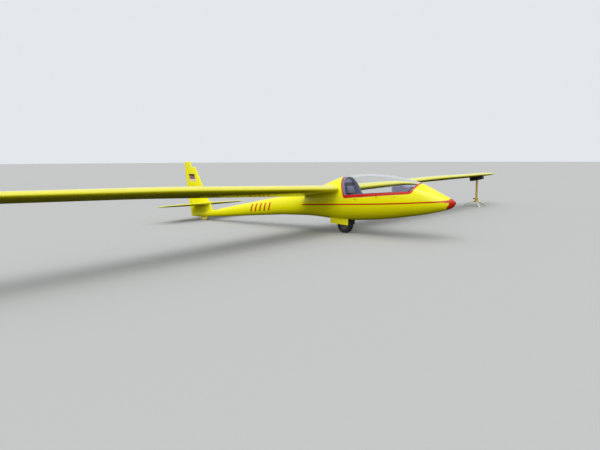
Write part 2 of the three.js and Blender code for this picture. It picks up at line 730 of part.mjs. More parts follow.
function skidBlock() {
  const sole = 3 + SEAT;
  const corners = [[-2660, 110], [-2640, 20], [-2600, sole], [-2480, sole], [-2435, 30], [-2435, 110]];
  return shell(solid(sidePrism(corners, -24, 24)).subtract(fuselage(SEAT * -1.5, FUSELAGE.slice(18))));
}

function skidShoe() {
  return box(-2598, -2482, -22, 22, 0.02, 3);
}

// Cockpit

const LINING = 9;

// Thin lining in front of the hollow's rear wall.
function rearBulkhead() {
  const foot = HOLD[1];
  const waist = HOLD[2];
  const head = [waist[0] - (300 * (waist[0] - HOLD[3][0])) / (HOLD[3][1] - waist[1]), waist[1] + 300];
  const near = [[foot[0], 300], foot, waist, head].map(([x, z]) => [x + 2 * SEAT, z]);
  const lining = [...near, ...[...near].reverse().map(([x, z]) => [x + LINING, z + 3])];
  return shell(solid(sidePrism(lining, -FAR, FAR)).intersect(fuselage(FRAME_DEPTH + CLEAR + 1)));
}

// Front face of that lining at a height, above its waist.
function liningX(z) {
  const lean = (HOLD[2][0] - HOLD[3][0]) / (HOLD[3][1] - HOLD[2][1]);
  return HOLD[2][0] + 2 * SEAT + LINING - lean * (z - 3 - HOLD[2][1]);
}

const PEDAL = { x: 2706, y: 70 };

// Top of the seat pan in side view
const PAN = { rear: [1420, 316], low: [1700, 296], front: [2060, 372], thick: 18, half: 205 };

function seatPan() {
  const top = [PAN.rear, PAN.low, PAN.front];
  const profile = [...top, ...[...top].reverse().map(([x, z]) => [x, z - PAN.thick])];
  return shell(solid(sidePrism(profile, -PAN.half, PAN.half)).intersect(fuselage(WALL + SEAT)));
}

const BACK_HALF = 190;
const HEADREST_HALF = 80;

function seatBack() {
  const profile = [[1398, 322], [1418, 330], [1330, 520], [1258, 700], [1238, 692], [1308, 512]];
  return shell(solid(sidePrism(profile, -BACK_HALF, BACK_HALF)).intersect(fuselage(WALL + SEAT)));
}

function headrest() {
  const [low, high] = [706, 836];
  const cushion = [[1236, 712], [1256, 716], [1226, 830]];
  const profile = [...cushion, [liningX(high) + SEAT, high], [liningX(low) + SEAT, low]];
  return sidePrism(profile, -HEADREST_HALF, HEADREST_HALF);
}

// Side view of the panel's upright face and of the long hood in front of it
const HOOD = [
  ...[[2130, 620], [2130, 800], [2120, 806], [2122, 846], [2200, 872]],
  ...[[2330, 876], [2440, 858], [2440, 800], [2230, 730], [2190, 620]],
];
const HOOD_HALF = 170;
const PEDESTAL = { x0: 2136, x1: 2186, half: 60, top: 660 };

function instrumentPanel() {
  const head = solid(sidePrism(HOOD, -HOOD_HALF, HOOD_HALF)).intersect(fuselage(FRAME_DEPTH + CLEAR + 1));
  const { x0, x1, half, top } = PEDESTAL;
  const foot = solid(box(x0, x1, -half, half, 0, top)).intersect(fuselage(WALL + SEAT));
  return shell(head.add(foot));
}

function controlStick() {
  const foot = new THREE.Vector3(1895, 0, 352);
  const knee = new THREE.Vector3(1850, 0, 560);
  const grip = new THREE.Vector3(1838, 0, 650);
  const cone = new THREE.CylinderGeometry(14, 42, 50, 16).rotateX(Math.PI / 2);
  const boot = cone.translate(foot.x, 0, foot.z + 14);
  const raised = ([x, z]) => [x, z + SEAT];
  const under = [raised(PAN.low), raised(PAN.front), [PAN.front[0], 0], [PAN.low[0], 0]];
  const below = sidePrism(under, -FAR, FAR);
  const stick = solid(boot).add(solid(strut(foot, knee, 9))).add(solid(strut(knee, grip, 16)));
  return shell(stick.subtract(solid(below)));
}

function pedal(side) {
  const y = side * PEDAL.y;
  const plate = solid(box(PEDAL.x - 6, PEDAL.x + 6, y - 40, y + 40, 520, 640));
  const arm = solid(box(PEDAL.x - 10, PEDAL.x + 10, y - 8, y + 8, 400, 540)).intersect(fuselage(WALL + SEAT));
  return shell(plate.add(arm));
}

// Canopy

const GLASS = 5;

function canopyFrame() {
  const core = fuselage(FRAME_DEPTH);
  const { sill, front, rear } = FRAME_BAND;
  const outline = canopyPrism(CLEAR, CLEAR, CLEAR);
  const inset = sill.map((width) => CLEAR + width);
  const ring = outline.subtract(canopyPrism(inset, CLEAR + front, CLEAR + rear));
  const wide = outline.subtract(canopyPrism(inset, CLEAR + front, CLEAR + rear + REAR_FLANGE));
  const flange = fuselage(GLASS + SEAT).subtract(core).intersect(wide);
  return shell(body.subtract(core).intersect(ring).add(flange));
}

function canopyGlass() {
  const { sill, front, rear } = FRAME_BAND;
  const gap = CLEAR + SEAT;
  const pane = canopyPrism(sill.map((width) => gap + width), gap + front, gap + rear);
  return shell(body.subtract(fuselage(GLASS)).intersect(pane));
}

// Two small external hinges carry the canopy along the right sill.
const HINGE_START = new THREE.Vector3(1420, -295, 651.8);
const HINGE_END = new THREE.Vector3(1950, -290.5, 702.8);
const HINGE_SHARES = [0.1, 0.9];
const BARREL = { radius: 4, half: 9, gap: 1, end: 22, leaf: 24 };
const PLATE_IN = 22; // how far the plates reach in to the skin

function hingeFrame(share) {
  const along = HINGE_END.clone().sub(HINGE_START).normalize();
  const turn = new THREE.Matrix4().makeRotationFromQuaternion(
    new THREE.Quaternion().setFromUnitVectors(new THREE.Vector3(1, 0, 0), along),
  );
  return turn.setPosition(HINGE_START.clone().lerp(HINGE_END, share));
}

// Barrel pieces with their plates, which reach up or down and in to the skin.
function hingePiece(share, spans, rise) {
  const pieces = spans.map(([from, to]) => {
    const barrel = rod(BARREL.radius, to - from, 16).rotateZ(Math.PI / 2).translate((from + to) / 2, 0, 0);
    const [z0, z1] = rise > 0 ? [0, BARREL.leaf] : [-BARREL.leaf, 0];
    const plate = box(from, to, -BARREL.radius, PLATE_IN, z0, z1);
    return solid(barrel.applyMatrix4(hingeFrame(share))).add(solid(plate.applyMatrix4(hingeFrame(share))));
  });
  const joined = pieces.length > 1 ? pieces[0].add(pieces[1]) : pieces[0];
  return joined.subtract(fuselage(-SEAT));
}

function hingeLeaf(share) {
  return shell(hingePiece(share, [[-BARREL.half, BARREL.half]], 1));
}

function hingeBase(share) {
  const inner = BARREL.half + BARREL.gap;
  const spans = [[-BARREL.end, -inner], [inner, BARREL.end]];
  const strap = box(-BARREL.end, BARREL.end, -BARREL.radius, PLATE_IN, -BARREL.leaf, -BARREL.end / 2);
  const tie = solid(strap.applyMatrix4(hingeFrame(share)));
  return shell(hingePiece(share, spans, -1).add(tie.subtract(fuselage(-SEAT))));
}

// Wing stand: its pad and cradle follow the underside of the leaning left wing

const leaning = new THREE.Matrix4().makeRotationX(LEAN).setPosition(0, SHIFT_Y, LIFT);
const PAD = { front: 0.03, rear: 0.73, half: 60, under: 112 };
const CRADLE = { front: 0.16, rear: 0.6, half: 50, thick: 6 };
const POLE_R = 28;
const HUB = { radius: 44, base: 108, top: 232 };
const KNOB = { z: 208, angle: 3.803, stemR: 7, knobR: 17, start: 24, end: 46 };
const LEG_R = 16;
const FOOT = { radius: 24, height: 12 };

// Block under the left wing, square to the chord line: depths are below that line.
function underWing({ front, rear, half }, top, bottom) {
  return loft([STAND_Y - half, STAND_Y + half].map((y) => {
    const chord = chordAt(y);
    const corner = (share, depth) => wingPoint(1, y, share, -depth / chord);
    return [corner(front, top), corner(rear, top), corner(rear, bottom), corner(front, bottom)];
  })).applyMatrix4(leaning);
}

function standPad() {
  const lowered = solid(wingSkin(1).translate(0, 0, -SEAT).applyMatrix4(leaning));
  return shell(solid(underWing(PAD, 0, PAD.under)).subtract(lowered));
}

function standCradle() {
  return underWing(CRADLE, PAD.under + SEAT, PAD.under + SEAT + CRADLE.thick);
}

function standPole() {
  const base = HUB.base + 8;
  const length = 800;
  const whole = rod(POLE_R, length).rotateX(Math.PI / 2).translate(STAND_X, STAND_Y, base + length / 2);
  const above = underWing({ front: -1, rear: 2, half: 200 }, -400, PAD.under + 2 * SEAT + CRADLE.thick);
  return shell(solid(whole).subtract(solid(above)));
}

function upright(radius, z0, z1, sides = 24) {
  return rod(radius, z1 - z0, sides).rotateX(Math.PI / 2).translate(STAND_X, STAND_Y, (z0 + z1) / 2);
}

function standHub() {
  const socket = solid(upright(POLE_R + SEAT, HUB.base + 8 - SEAT, HUB.top + 50));
  return shell(solid(upright(HUB.radius, HUB.base, HUB.top)).subtract(socket));
}

// Clamp screw with its knob, on the side of the hub.
function standKnob() {
  const out = new THREE.Vector3(Math.cos(KNOB.angle), Math.sin(KNOB.angle), 0);
  const at = (reach) => new THREE.Vector3(STAND_X, STAND_Y, KNOB.z).addScaledVector(out, HUB.radius + reach);
  const stem = solid(strut(at(-10), at(KNOB.start + 2), KNOB.stemR));
  const knob = solid(strut(at(KNOB.start), at(KNOB.end), KNOB.knobR, 16));
  return shell(stem.subtract(solid(upright(HUB.radius + SEAT, 0, 400))).add(knob));
}

function standLeg(index) {
  const angle = LEG_FIRST_ANGLE + (index * 2 * Math.PI) / 3;
  const out = new THREE.Vector3(Math.cos(angle), Math.sin(angle), 0);
  const centre = new THREE.Vector3(STAND_X, STAND_Y, 0);
  const start = centre.clone().setZ(STAND_HUB_Z + 10);
  const end = centre.clone().addScaledVector(out, LEG_REACH).setZ(FOOT.height + 2);
  const disc = rod(FOOT.radius, FOOT.height, 16).rotateX(Math.PI / 2);
  const foot = disc.translate(end.x, end.y, FOOT.height / 2);
  const tube = solid(strut(start, end, LEG_R)).add(solid(foot));
  return shell(tube.subtract(solid(upright(HUB.radius + SEAT, 0, 400))));
}

[-1, 1].forEach((side) => {
  const hand = side < 0 ? 'right' : 'left';
  add(aircraft, `wing_${hand}`, wing(side), 'yellow');
  add(aircraft, `aileron_${hand}`, aileron(side), 'yellow');
  add(aircraft, `air_brake_cap_${hand}`, brakeBlock(side, 1, BRAKE.depth - 1, 0), 'yellow');
  add(aircraft, `tailplane_${hand}`, tailplane(side), 'yellow');
  add(aircraft, `elevator_${hand}`, elevator(side), 'yellow');
  add(aircraft, `gear_door_${hand}`, gearDoor(side), 'yellow');
  add(aircraft, `rudder_pedal_${hand}`, pedal(side), 'alloy');
});
add(aircraft, 'nose_cone', noseCone(), 'red');
add(aircraft, 'front_moulding', frontMoulding(), 'yellow');
add(aircraft, 'centre_moulding', centreMoulding(), 'yellow');
add(aircraft, 'tail_boom', boomTail(), 'yellow');
add(aircraft, 'fin', fin(), 'yellow');
add(aircraft, 'rudder', rudder(), 'yellow');
add(aircraft, 'elevator_tube', torqueTube(TORQUE_TUBE_R, ELEVATOR.inner - SEAT), 'steel');
add(aircraft, 'tyre', atAxle(turned(TYRE_HALF, WHEEL_SIDES)), 'rubber');
add(aircraft, 'wheel_hub', atAxle(turned(HUB_HALF, WHEEL_SIDES)), 'alloy');
add(aircraft, 'axle', atAxle(rod(AXLE_R, 140)), 'steel');
add(aircraft, 'gear_fork', gearFork(), 'black');
add(aircraft, 'skid_block', skidBlock(), 'yellow');
add(aircraft, 'skid_shoe', skidShoe(), 'steel');
add(aircraft, 'rear_bulkhead', rearBulkhead(), 'trim');
add(aircraft, 'seat_pan', seatPan(), 'pan');
add(aircraft, 'seat_back', seatBack(), 'trim');
add(aircraft, 'headrest', headrest(), 'trim');
add(aircraft, 'instrument_panel', instrumentPanel(), 'black');
add(aircraft, 'control_stick', controlStick(), 'black');
add(aircraft, 'canopy_frame', canopyFrame(), 'red');
add(aircraft, 'canopy_glass', canopyGlass(), 'glass');
HINGE_SHARES.forEach((share, index) => {
  add(aircraft, `canopy_hinge_base_${index + 1}`, hingeBase(share), 'yellow');
  add(aircraft, `canopy_hinge_leaf_${index + 1}`, hingeLeaf(share), 'red');
});
add(stand, 'stand_pad', standPad(), 'black');
add(stand, 'stand_cradle', standCradle(), 'steel');
add(stand, 'stand_pole', standPole(), 'pole');
add(stand, 'stand_hub', standHub(), 'pole');
add(stand, 'stand_knob', standKnob(), 'black');
[0, 1, 2].forEach((index) => add(stand, `stand_leg_${index + 1}`, standLeg(index), 'leg'));

const group = new THREE.Group();
group.add(aircraft, stand);
export default group;
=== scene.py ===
"""Looks of a yellow single-seat sailplane, parked on its main wheel with the left wing on a stand.

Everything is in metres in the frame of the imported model: +X to the nose, +Y to the left wing tip.
Forms of the aircraft are worked out level and then leaned on the stand by LEAN.
"""

import logging
import math
from contextlib import contextmanager
from dataclasses import dataclass, field
from enum import Enum
from typing import Callable, Iterator, Sequence

import bpy
import numpy as np
from bpy.types import Material, Node, NodeSocket, NodeTree, Object
from mathutils import Matrix, Vector

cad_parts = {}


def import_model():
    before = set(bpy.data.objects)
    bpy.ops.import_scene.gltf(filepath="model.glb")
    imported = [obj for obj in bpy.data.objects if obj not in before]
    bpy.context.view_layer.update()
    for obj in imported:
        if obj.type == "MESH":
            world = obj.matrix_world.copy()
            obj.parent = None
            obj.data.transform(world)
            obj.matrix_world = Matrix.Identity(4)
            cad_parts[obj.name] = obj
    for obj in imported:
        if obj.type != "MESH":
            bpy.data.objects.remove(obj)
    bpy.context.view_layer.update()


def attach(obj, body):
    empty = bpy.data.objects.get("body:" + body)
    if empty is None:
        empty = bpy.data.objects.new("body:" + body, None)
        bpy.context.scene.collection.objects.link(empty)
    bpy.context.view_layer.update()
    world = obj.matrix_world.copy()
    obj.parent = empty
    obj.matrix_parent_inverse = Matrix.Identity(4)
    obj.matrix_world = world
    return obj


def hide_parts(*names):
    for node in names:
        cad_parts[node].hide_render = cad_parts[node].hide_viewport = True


LOG = logging.getLogger("sailplane")
LEAN = Matrix.Translation((0.0, -0.0114, 0.00024)) @ Matrix.Rotation(-0.012, 4, "X")
SEAT = 0.0003  # room between pieces that lie on each other
GAP = 0.0065  # room round the nose of a hinged surface
MERGE = 1e-5
SMOOTH_ANGLE = math.radians(34)
FLAT_WEIGHT = 60  # how far large faces rule the normals beside them
AHEAD, ACROSS, UP = Vector((1, 0, 0)), Vector((0, 1, 0)), Vector((0, 0, 1))

Point = tuple[float, float, float]
Colour = tuple[float, float, float]
Pair = tuple[float, float]
Outline = Sequence[Pair]


class Side(Enum):
    """One side of the aircraft; the value is the sign of its y."""

    LEFT = 1
    RIGHT = -1

    @property
    def word(self) -> str:
        """The side as it stands in a node's name."""
        return self.name.lower()


class Join(Enum):
    """How one closed mesh is joined with another."""

    CUT = "DIFFERENCE"
    ADD = "UNION"
    KEEP = "INTERSECT"


class Marks(Enum):
    """Painted markings that a gelcoat carries."""

    NONE = "none"
    HULL = "hull"
    NOSE = "nose"
    FIN = "fin"


# Mesh tools


def choose(obj: Object) -> None:
    """Makes one object the only selected and the active one.

    Args:
        obj: Object to select.
    """
    bpy.ops.object.select_all(action="DESELECT")
    obj.select_set(True)
    bpy.context.view_layer.objects.active = obj


@contextmanager
def editing(obj: Object) -> Iterator[None]:
    """Keeps a mesh in edit mode with all of it selected.

    Args:
        obj: Mesh to edit.

    Yields:
        Nothing; edit mode ends with the block.
    """
    choose(obj)
    bpy.ops.object.mode_set(mode="EDIT")
    bpy.ops.mesh.select_all(action="SELECT")
    yield
    bpy.ops.object.mode_set(mode="OBJECT")


def named(obj: Object, name: str) -> Object:
    """Gives an object and its mesh one name.

    Args:
        obj: Object to name.
        name: The name.

    Returns:
        The same object.
    """
    obj.name = obj.data.name = name
    return obj


def added(name: str) -> Object:
    """Names the primitive that was just added and applies its place.

    Args:
        name: Name of the object.

    Returns:
        The object, with its place in its mesh.
    """
    obj = named(bpy.context.object, name)
    choose(obj)
    bpy.ops.object.transform_apply(location=True, rotation=True, scale=True)
    return obj


def modify(obj: Object, kind: str, **settings: object) -> Object:
    """Adds a modifier with these settings and applies it.

    Args:
        obj: Object to change.
        kind: Blender's name of the modifier type.
        settings: Properties of the modifier.

    Returns:
        The same object.
    """
    modifier = obj.modifiers.new(kind, kind)
    for key, value in settings.items():
        setattr(modifier, key, value)
    choose(obj)
    bpy.ops.object.modifier_apply(modifier=modifier.name)
    return obj


def combine(obj: Object, other: Object, how: Join, keep: bool = False) -> Object:
    """Joins two closed meshes with a Boolean.

    Args:
        obj: Mesh that is changed.
        other: Mesh that acts on it.
        how: Which Boolean.
        keep: Leaves the other mesh in the scene.

    Returns:
        The changed object.
    """
    modify(obj, "BOOLEAN", operation=how.value, object=other, solver="EXACT")
    if not keep:
        bpy.data.objects.remove(other)
    return obj


def copied(obj: Object, name: str) -> Object:
    """Copies an object with a mesh of its own.

    Args:
        obj: Object to copy.
        name: Name of the copy.

    Returns:
        The copy.
    """
    twin = obj.copy()
    twin.data = obj.data.copy()
    bpy.context.scene.collection.objects.link(twin)
    return named(twin, name)


def merged(parts: Sequence[Object], name: str) -> Object:
    """Joins several objects into one.

    Args:
        parts: Objects to join.
        name: Name of the result.

    Returns:
        The joined object.
    """
    choose(parts[0])
    for part in parts:
        part.select_set(True)
    bpy.ops.object.join()
    return named(parts[0], name)


def tidy(obj: Object) -> Object:
    """Merges doubles, turns the faces outwards and smooths up to an angle.

    Args:
        obj: Closed mesh.

    Returns:
        The same object.
    """
    with editing(obj):
        bpy.ops.mesh.remove_doubles(threshold=MERGE)
        bpy.ops.mesh.normals_make_consistent(inside=False)
    bpy.ops.object.shade_smooth_by_angle(angle=SMOOTH_ANGLE)
    return obj


def even_shading(obj: Object) -> Object:
    """Smooths a mesh that was cut, with normals weighted by face area.

    Args:
        obj: Mesh after its Booleans.

    Returns:
        The same object.
    """
    choose(obj)
    bpy.ops.object.shade_smooth_by_angle(angle=SMOOTH_ANGLE)
    return modify(obj, "WEIGHTED_NORMAL", keep_sharp=True, weight=FLAT_WEIGHT)


def bevelled(obj: Object, width: float, segments: int = 3) -> Object:
    """Rounds the sharp edges of a closed piece."""
    modify(obj, "BEVEL", width=width, segments=segments, limit_method="ANGLE")
    return even_shading(obj)


def coordinates(obj: Object, kind: str = "co") -> np.ndarray:
    """Reads the places or normals of a mesh's points.

    Args:
        obj: Mesh to read.
        kind: Name of the value that is read.

    Returns:
        Rows of three.
    """
    values = np.zeros(len(obj.data.vertices) * 3, np.float32)
    obj.data.vertices.foreach_get(kind, values)
    return values.reshape(-1, 3)


def moved_to(obj: Object, places: np.ndarray) -> Object:
    """Puts a mesh's points at new places.

    Args:
        obj: Mesh to change.
        places: Rows of three.

    Returns:
        The same object.
    """
    obj.data.vertices.foreach_set("co", places.astype(np.float32).ravel())
    obj.data.update()
    return obj


def skin(name: str, rings: Sequence, closed: bool = True) -> Object:
    """Lays a grid over rings of points, as a closed tube.

    Args:
        name: Name of the object.
        rings: Points as rows by columns by three.
        closed: Shuts both ends with a flat fan.

    Returns:
        The mesh, faces outwards.
    """
    table = np.asarray(rings, float)
    if closed:
        ends = [np.repeat(table[k].mean(0)[None], table.shape[1], 0)[None] for k in (0, -1)]
        table = np.concatenate([ends[0], table, ends[1]])
    table = np.concatenate([table, table[:, :1]], axis=1)
    rows, columns = table.shape[0] - 1, table.shape[1] - 1
    bpy.ops.mesh.primitive_grid_add(x_subdivisions=columns, y_subdivisions=rows, size=2)
    obj = added(name)
    flat = coordinates(obj)
    column = np.rint((flat[:, 0] + 1) / 2 * columns).astype(int)
    row = np.rint((flat[:, 1] + 1) / 2 * rows).astype(int)
    return tidy(moved_to(obj, table[row, column]))


def prism(name: str, outline: Outline, y0: float, y1: float) -> Object:
    """Extrudes a side-view outline between two widths.

    Args:
        name: Name of the object.
        outline: Corners as (x, z).
        y0: First width.
        y1: Second width.

    Returns:
        The closed prism.
    """
    bpy.ops.mesh.primitive_circle_add(vertices=len(outline), radius=1, fill_type="NGON")
    obj = added(name)
    for vertex, (x, z) in zip(obj.data.vertices, outline):
        vertex.co = (x, y0, z)
    with editing(obj):
        bpy.ops.mesh.extrude_region_move(TRANSFORM_OT_translate={"value": (0, y1 - y0, 0)})
    return tidy(obj)


def block(name: str, low: Point, high: Point) -> Object:
    """Adds a box.

    Args:
        name: Name of the object.
        low: Lowest corner.
        high: Highest corner.

    Returns:
        The box.
    """
    middle = [(a + b) / 2 for a, b in zip(low, high)]
    size = [b - a for a, b in zip(low, high)]
    bpy.ops.mesh.primitive_cube_add(size=1, location=middle, scale=size)
    return tidy(added(name))


def spokes(first: Vector, second: Vector, steps: int) -> list[Vector]:
    """Directions of a full turn from one direction towards another."""
    angles = [2 * math.pi * k / steps for k in range(steps)]
    return [first * math.cos(a) + second * math.sin(a) for a in angles]


def lathe(
    name: str, profile: Outline, axis: Vector, centre: Vector, steps: int, closed: bool = True
) -> Object:
    """Turns a profile about an axis.

    Args:
        name: Name of the object.
        profile: Points as (distance along the axis, radius).
        axis: Direction of the axis.
        centre: Point of the axis where the distance is nought.
        steps: Sides of the round.
        closed: Shuts both ends of the profile.

    Returns:
        The turned piece.
    """
    axis = axis.normalized()
    first = axis.orthogonal().normalized()
    turn = spokes(first, axis.cross(first), steps)
    rings = [[tuple(centre + axis * a + spoke * r) for spoke in turn] for a, r in profile]
    return skin(name, rings, closed)


def hoop(name: str, section: Outline, axis: Vector, centre: Vector, steps: int) -> Object:
    """Turns a closed section about an axis into a ring with a hole, as lathe turns a profile."""
    return lathe(name, [*section, section[0]], axis, centre, steps, closed=False)


def hole(x: float, z: float, radius: float, half: float, steps: int) -> Object:
    """Round cutter straight across the middle, at a station and a height."""
    return lathe("hole", [(-half, radius), (half, radius)], ACROSS, Vector((x, 0, z)), steps)


def tube(name: str, path: Sequence[Vector], radii: Sequence[float], steps: int) -> Object:
    """Runs a round section along a path.

    Args:
        name: Name of the object.
        path: Points along the middle.
        radii: Radius at each point.
        steps: Sides of the round.

    Returns:
        The closed tube.
    """
    rings = []
    side = (path[1] - path[0]).orthogonal().normalized()
    for k, point in enumerate(path):
        ahead = (path[min(k + 1, len(path) - 1)] - path[max(k - 1, 0)]).normalized()
        side = (side - ahead * side.dot(ahead)).normalized()
        turn = spokes(side, ahead.cross(side), steps)
        rings.append([tuple(point + spoke * radii[k]) for spoke in turn])
    return skin(name, rings)


def sliced(obj: Object, x: float, keep_front: bool) -> Object:
    """Cuts a closed mesh at a station and shuts the cut.

    Args:
        obj: Mesh to cut.
        x: Station of the cut.
        keep_front: Keeps the part nearer the nose.

    Returns:
        The same object.
    """
    away = {"clear_inner": keep_front, "clear_outer": not keep_front}
    with editing(obj):
        bpy.ops.mesh.bisect(plane_co=(x, 0, 0), plane_no=(1, 0, 0), use_fill=True, **away)
    return obj


def leaned(obj: Object) -> Object:
    """Leans a finished mesh of the aircraft on its wing stand.

    Args:
        obj: Mesh that was worked out level.

    Returns:
        The same object.
    """
    obj.data.transform(LEAN)
    obj.data.update()
    return obj


# Shader tools


class Graph:
    """Short way to add and join the nodes of one shader tree."""

    def __init__(self, tree: NodeTree) -> None:
        """Keeps the tree that is worked on."""
        self.tree = tree

    def feed(self, target: NodeSocket, source: object) -> None:
        """Sets a socket from a plain value or joins it to another socket.

        Args:
            target: Input to fill.
            source: Value or socket.
        """
        if isinstance(source, NodeSocket):
            self.tree.links.new(source, target)
        else:
            target.default_value = source

    def add(self, kind: str, inputs: dict | None = None, **settings: object) -> Node:
        """Adds a node.

        Args:
            kind: Type of the node, without its common front part.
            inputs: Values or sockets for its inputs, by name or number.
            settings: Properties of the node.

        Returns:
            The node.
        """
        node = self.tree.nodes.new("ShaderNode" + kind)
        for key, value in settings.items():
            setattr(node, key, value)
        for key, value in (inputs or {}).items():
            self.feed(node.inputs[key], value)
        return node

    def math(self, name: str, a: object, b: object = 0.0, clamp: bool = False) -> NodeSocket:
        """Adds one sum of two values or sockets, kept from nought to one where asked."""
        return self.add("Math", {0: a, 1: b}, operation=name, use_clamp=clamp).outputs[0]

    def product(self, *values: object) -> NodeSocket:
        """Multiplies several values.

        Args:
            values: Values or sockets.

        Returns:
            Their product.
        """
        result = values[0]
        for value in values[1:]:
            result = self.math("MULTIPLY", result, value)
        return result

    def less(self, a: object, b: object) -> NodeSocket:
        """Takes the second value from the first."""
        return self.math("SUBTRACT", a, b)

    def plus(self, a: object, b: object) -> NodeSocket:
        """Adds two values."""
        return self.math("ADD", a, b)

    def most(self, a: object, b: object) -> NodeSocket:
        """Takes the larger of two values."""
        return self.math("MAXIMUM", a, b)

    def span(
        self, value: object, low: float, high: float, to: Pair = (0.0, 1.0), even: bool = False
    ) -> NodeSocket:
        """Maps a value from one range to another and keeps it there.

        Args:
            value: Value or socket.
            low: Value that gives the first result.
            high: Value that gives the second result.
            to: The two results.
            even: Maps along a straight line, not with eased ends.

        Returns:
            The mapped value.
        """
        kind = "LINEAR" if even else "SMOOTHSTEP"
        inputs = dict(enumerate((value, low, high, *to)))
        return self.add("MapRange", inputs, interpolation_type=kind).outputs[0]

    def band(self, value: object, low: float, high: float, soft: float) -> NodeSocket:
        """One between two limits, nought outside them."""
        start, end = (low - soft, low + soft), (high + soft, high - soft)
        return self.product(self.span(value, *start), self.span(value, *end))

    def mix(self, factor: object, a: object, b: object) -> NodeSocket:
        """Mixes two colours by the share of the second."""
        return self.add("Mix", {0: factor, 6: a, 7: b}, data_type="RGBA").outputs[2]

    def noise(self, at: object, scale: float, detail: float = 3.0, rough: float = 0.5) -> NodeSocket:
        """Noise with this many patches for each metre, its finer layers and their strength."""
        inputs = {"Vector": at, "Scale": scale, "Detail": detail, "Roughness": rough}
        return self.add("TexNoise", inputs).outputs["Fac"]

    def bump(
        self, height: object, distance: float, strength: float, under: object = None
    ) -> NodeSocket:
        """Turns a height into a normal.

        Args:
            height: Height as a share of the distance.
            distance: Depth in metres.
            strength: Strength of the effect.
            under: Normal that this one lies on.

        Returns:
            The normal.
        """
        inputs = {"Strength": strength, "Distance": distance, "Height": height}
        if under is not None:
            inputs["Normal"] = under
        return self.add("Bump", inputs).outputs[0]


class Effect(Enum):
    """Shared shader effects, each a node group that is built once."""

    MOTTLE = "mottle"
    DUST = "dust"
    WEAVE = "weave"
    CHIPS = "chips"

    def tree(self) -> NodeTree:
        """Builds the group the first time, and finds it after that.

        Returns:
            The node group.
        """
        found = bpy.data.node_groups.get(self.value)
        if found:
            return found
        tree = bpy.data.node_groups.new(self.value, "ShaderNodeTree")
        tree.interface.new_socket("Vector", in_out="INPUT", socket_type="NodeSocketVector")
        for name in ("Scale", "Amount"):
            tree.interface.new_socket(name, in_out="INPUT", socket_type="NodeSocketFloat")
        for name in ("Mask", "Height"):
            tree.interface.new_socket(name, in_out="OUTPUT", socket_type="NodeSocketFloat")
        graph = Graph(tree)
        start = tree.nodes.new("NodeGroupInput").outputs
        end = tree.nodes.new("NodeGroupOutput").inputs
        inputs = {0: start["Vector"], "Scale": start["Scale"]}
        vector = graph.add("VectorMath", inputs, operation="SCALE").outputs[0]
        build = {"mottle": self._mottle, "dust": self._dust, "weave": self._weave}
        mask, height = build.get(self.value, self._chips)(graph, vector)
        graph.feed(end["Mask"], graph.math("MULTIPLY", mask, start["Amount"], clamp=True))
        graph.feed(end["Height"], height)
        return tree

    def _mottle(self, graph: Graph, vector: object) -> tuple[object, object]:
        """Soft cloudy patches with a finer layer in them.

        Args:
            graph: Tree of the effect.
            vector: Its coordinates.

        Returns:
            Mask and height.
        """
        fine = graph.noise(vector, 14.0, 2.0)
        patches = graph.span(graph.noise(vector, 1.0, 4.0, 0.55), 0.35, 0.7)
        return graph.plus(graph.product(patches, 0.8), graph.product(fine, 0.2)), fine

    def _dust(self, graph: Graph, vector: object) -> tuple[object, object]:
        """Dust that lies on what faces up.

        Args:
            graph: Tree of the effect.
            vector: Its coordinates.

        Returns:
            Mask and height.
        """
        normal = graph.add("NewGeometry").outputs["Normal"]
        up = graph.span(graph.add("SeparateXYZ", {0: normal}).outputs["Z"], 0.15, 0.95)
        patches = graph.noise(vector, 1.0, 6.0, 0.65)
        return graph.product(up, graph.span(patches, 0.35, 0.75)), patches

    def _weave(self, graph: Graph, vector: object) -> tuple[object, object]:
        """Threads that cross each other.

        Args:
            graph: Tree of the effect.
            vector: Its coordinates.

        Returns:
            Mask and height.
        """
        inputs = {"Vector": vector, "Scale": 1.0, "Distortion": 0.4}
        look = {"wave_type": "BANDS", "wave_profile": "SIN"}
        x, y, z = (
            graph.add("TexWave", inputs, bands_direction=way, **look).outputs["Fac"] for way in "XYZ"
        )
        height = graph.most(graph.product(x, z), graph.product(y, z))
        return graph.less(1.0, height), height

    def _chips(self, graph: Graph, vector: object) -> tuple[object, object]:
        """Small sharp-edged spots where a coat has come off."""
        spots = graph.span(graph.noise(vector, 1.0, 5.0, 0.7), 0.62, 0.66)
        return spots, spots


class Coat(Graph):
    """Shader tree of one material, with its surface shader and the piece's coordinates."""

    def __init__(self, material: Material) -> None:
        """Finds the surface shader and adds the coordinates.

        Args:
            material: Material to fill.
        """
        material.use_nodes = True
        super().__init__(material.node_tree)
        self.shader = self.tree.nodes["Principled BSDF"]
        self.vector = self.add("TexCoord").outputs["Object"]

    def axes(self) -> object:
        """X, Y and Z of the coordinates, by their names."""
        return self.add("SeparateXYZ", {0: self.vector}).outputs

    def put(self, values: dict[str, object]) -> None:
        """Sets or joins inputs of the surface shader."""
        for key, value in values.items():
            self.feed(self.shader.inputs[key], value)

    def shared(self, effect: Effect, scale: float, amount: float) -> tuple[NodeSocket, NodeSocket]:
        """Places a shared effect with its own values.

        Args:
            effect: Which effect.
            scale: Patches for each metre.
            amount: Strength of its mask.

        Returns:
            Its mask and its height.
        """
        node = self.add("Group", node_tree=effect.tree())
        for key, value in (("Vector", self.vector), ("Scale", scale), ("Amount", amount)):
            self.feed(node.inputs[key], value)
        return node.outputs["Mask"], node.outputs["Height"]


def opaque(colour: Colour) -> tuple[float, float, float, float]:
    """A colour as a shader socket takes it."""
    return (*colour, 1.0)


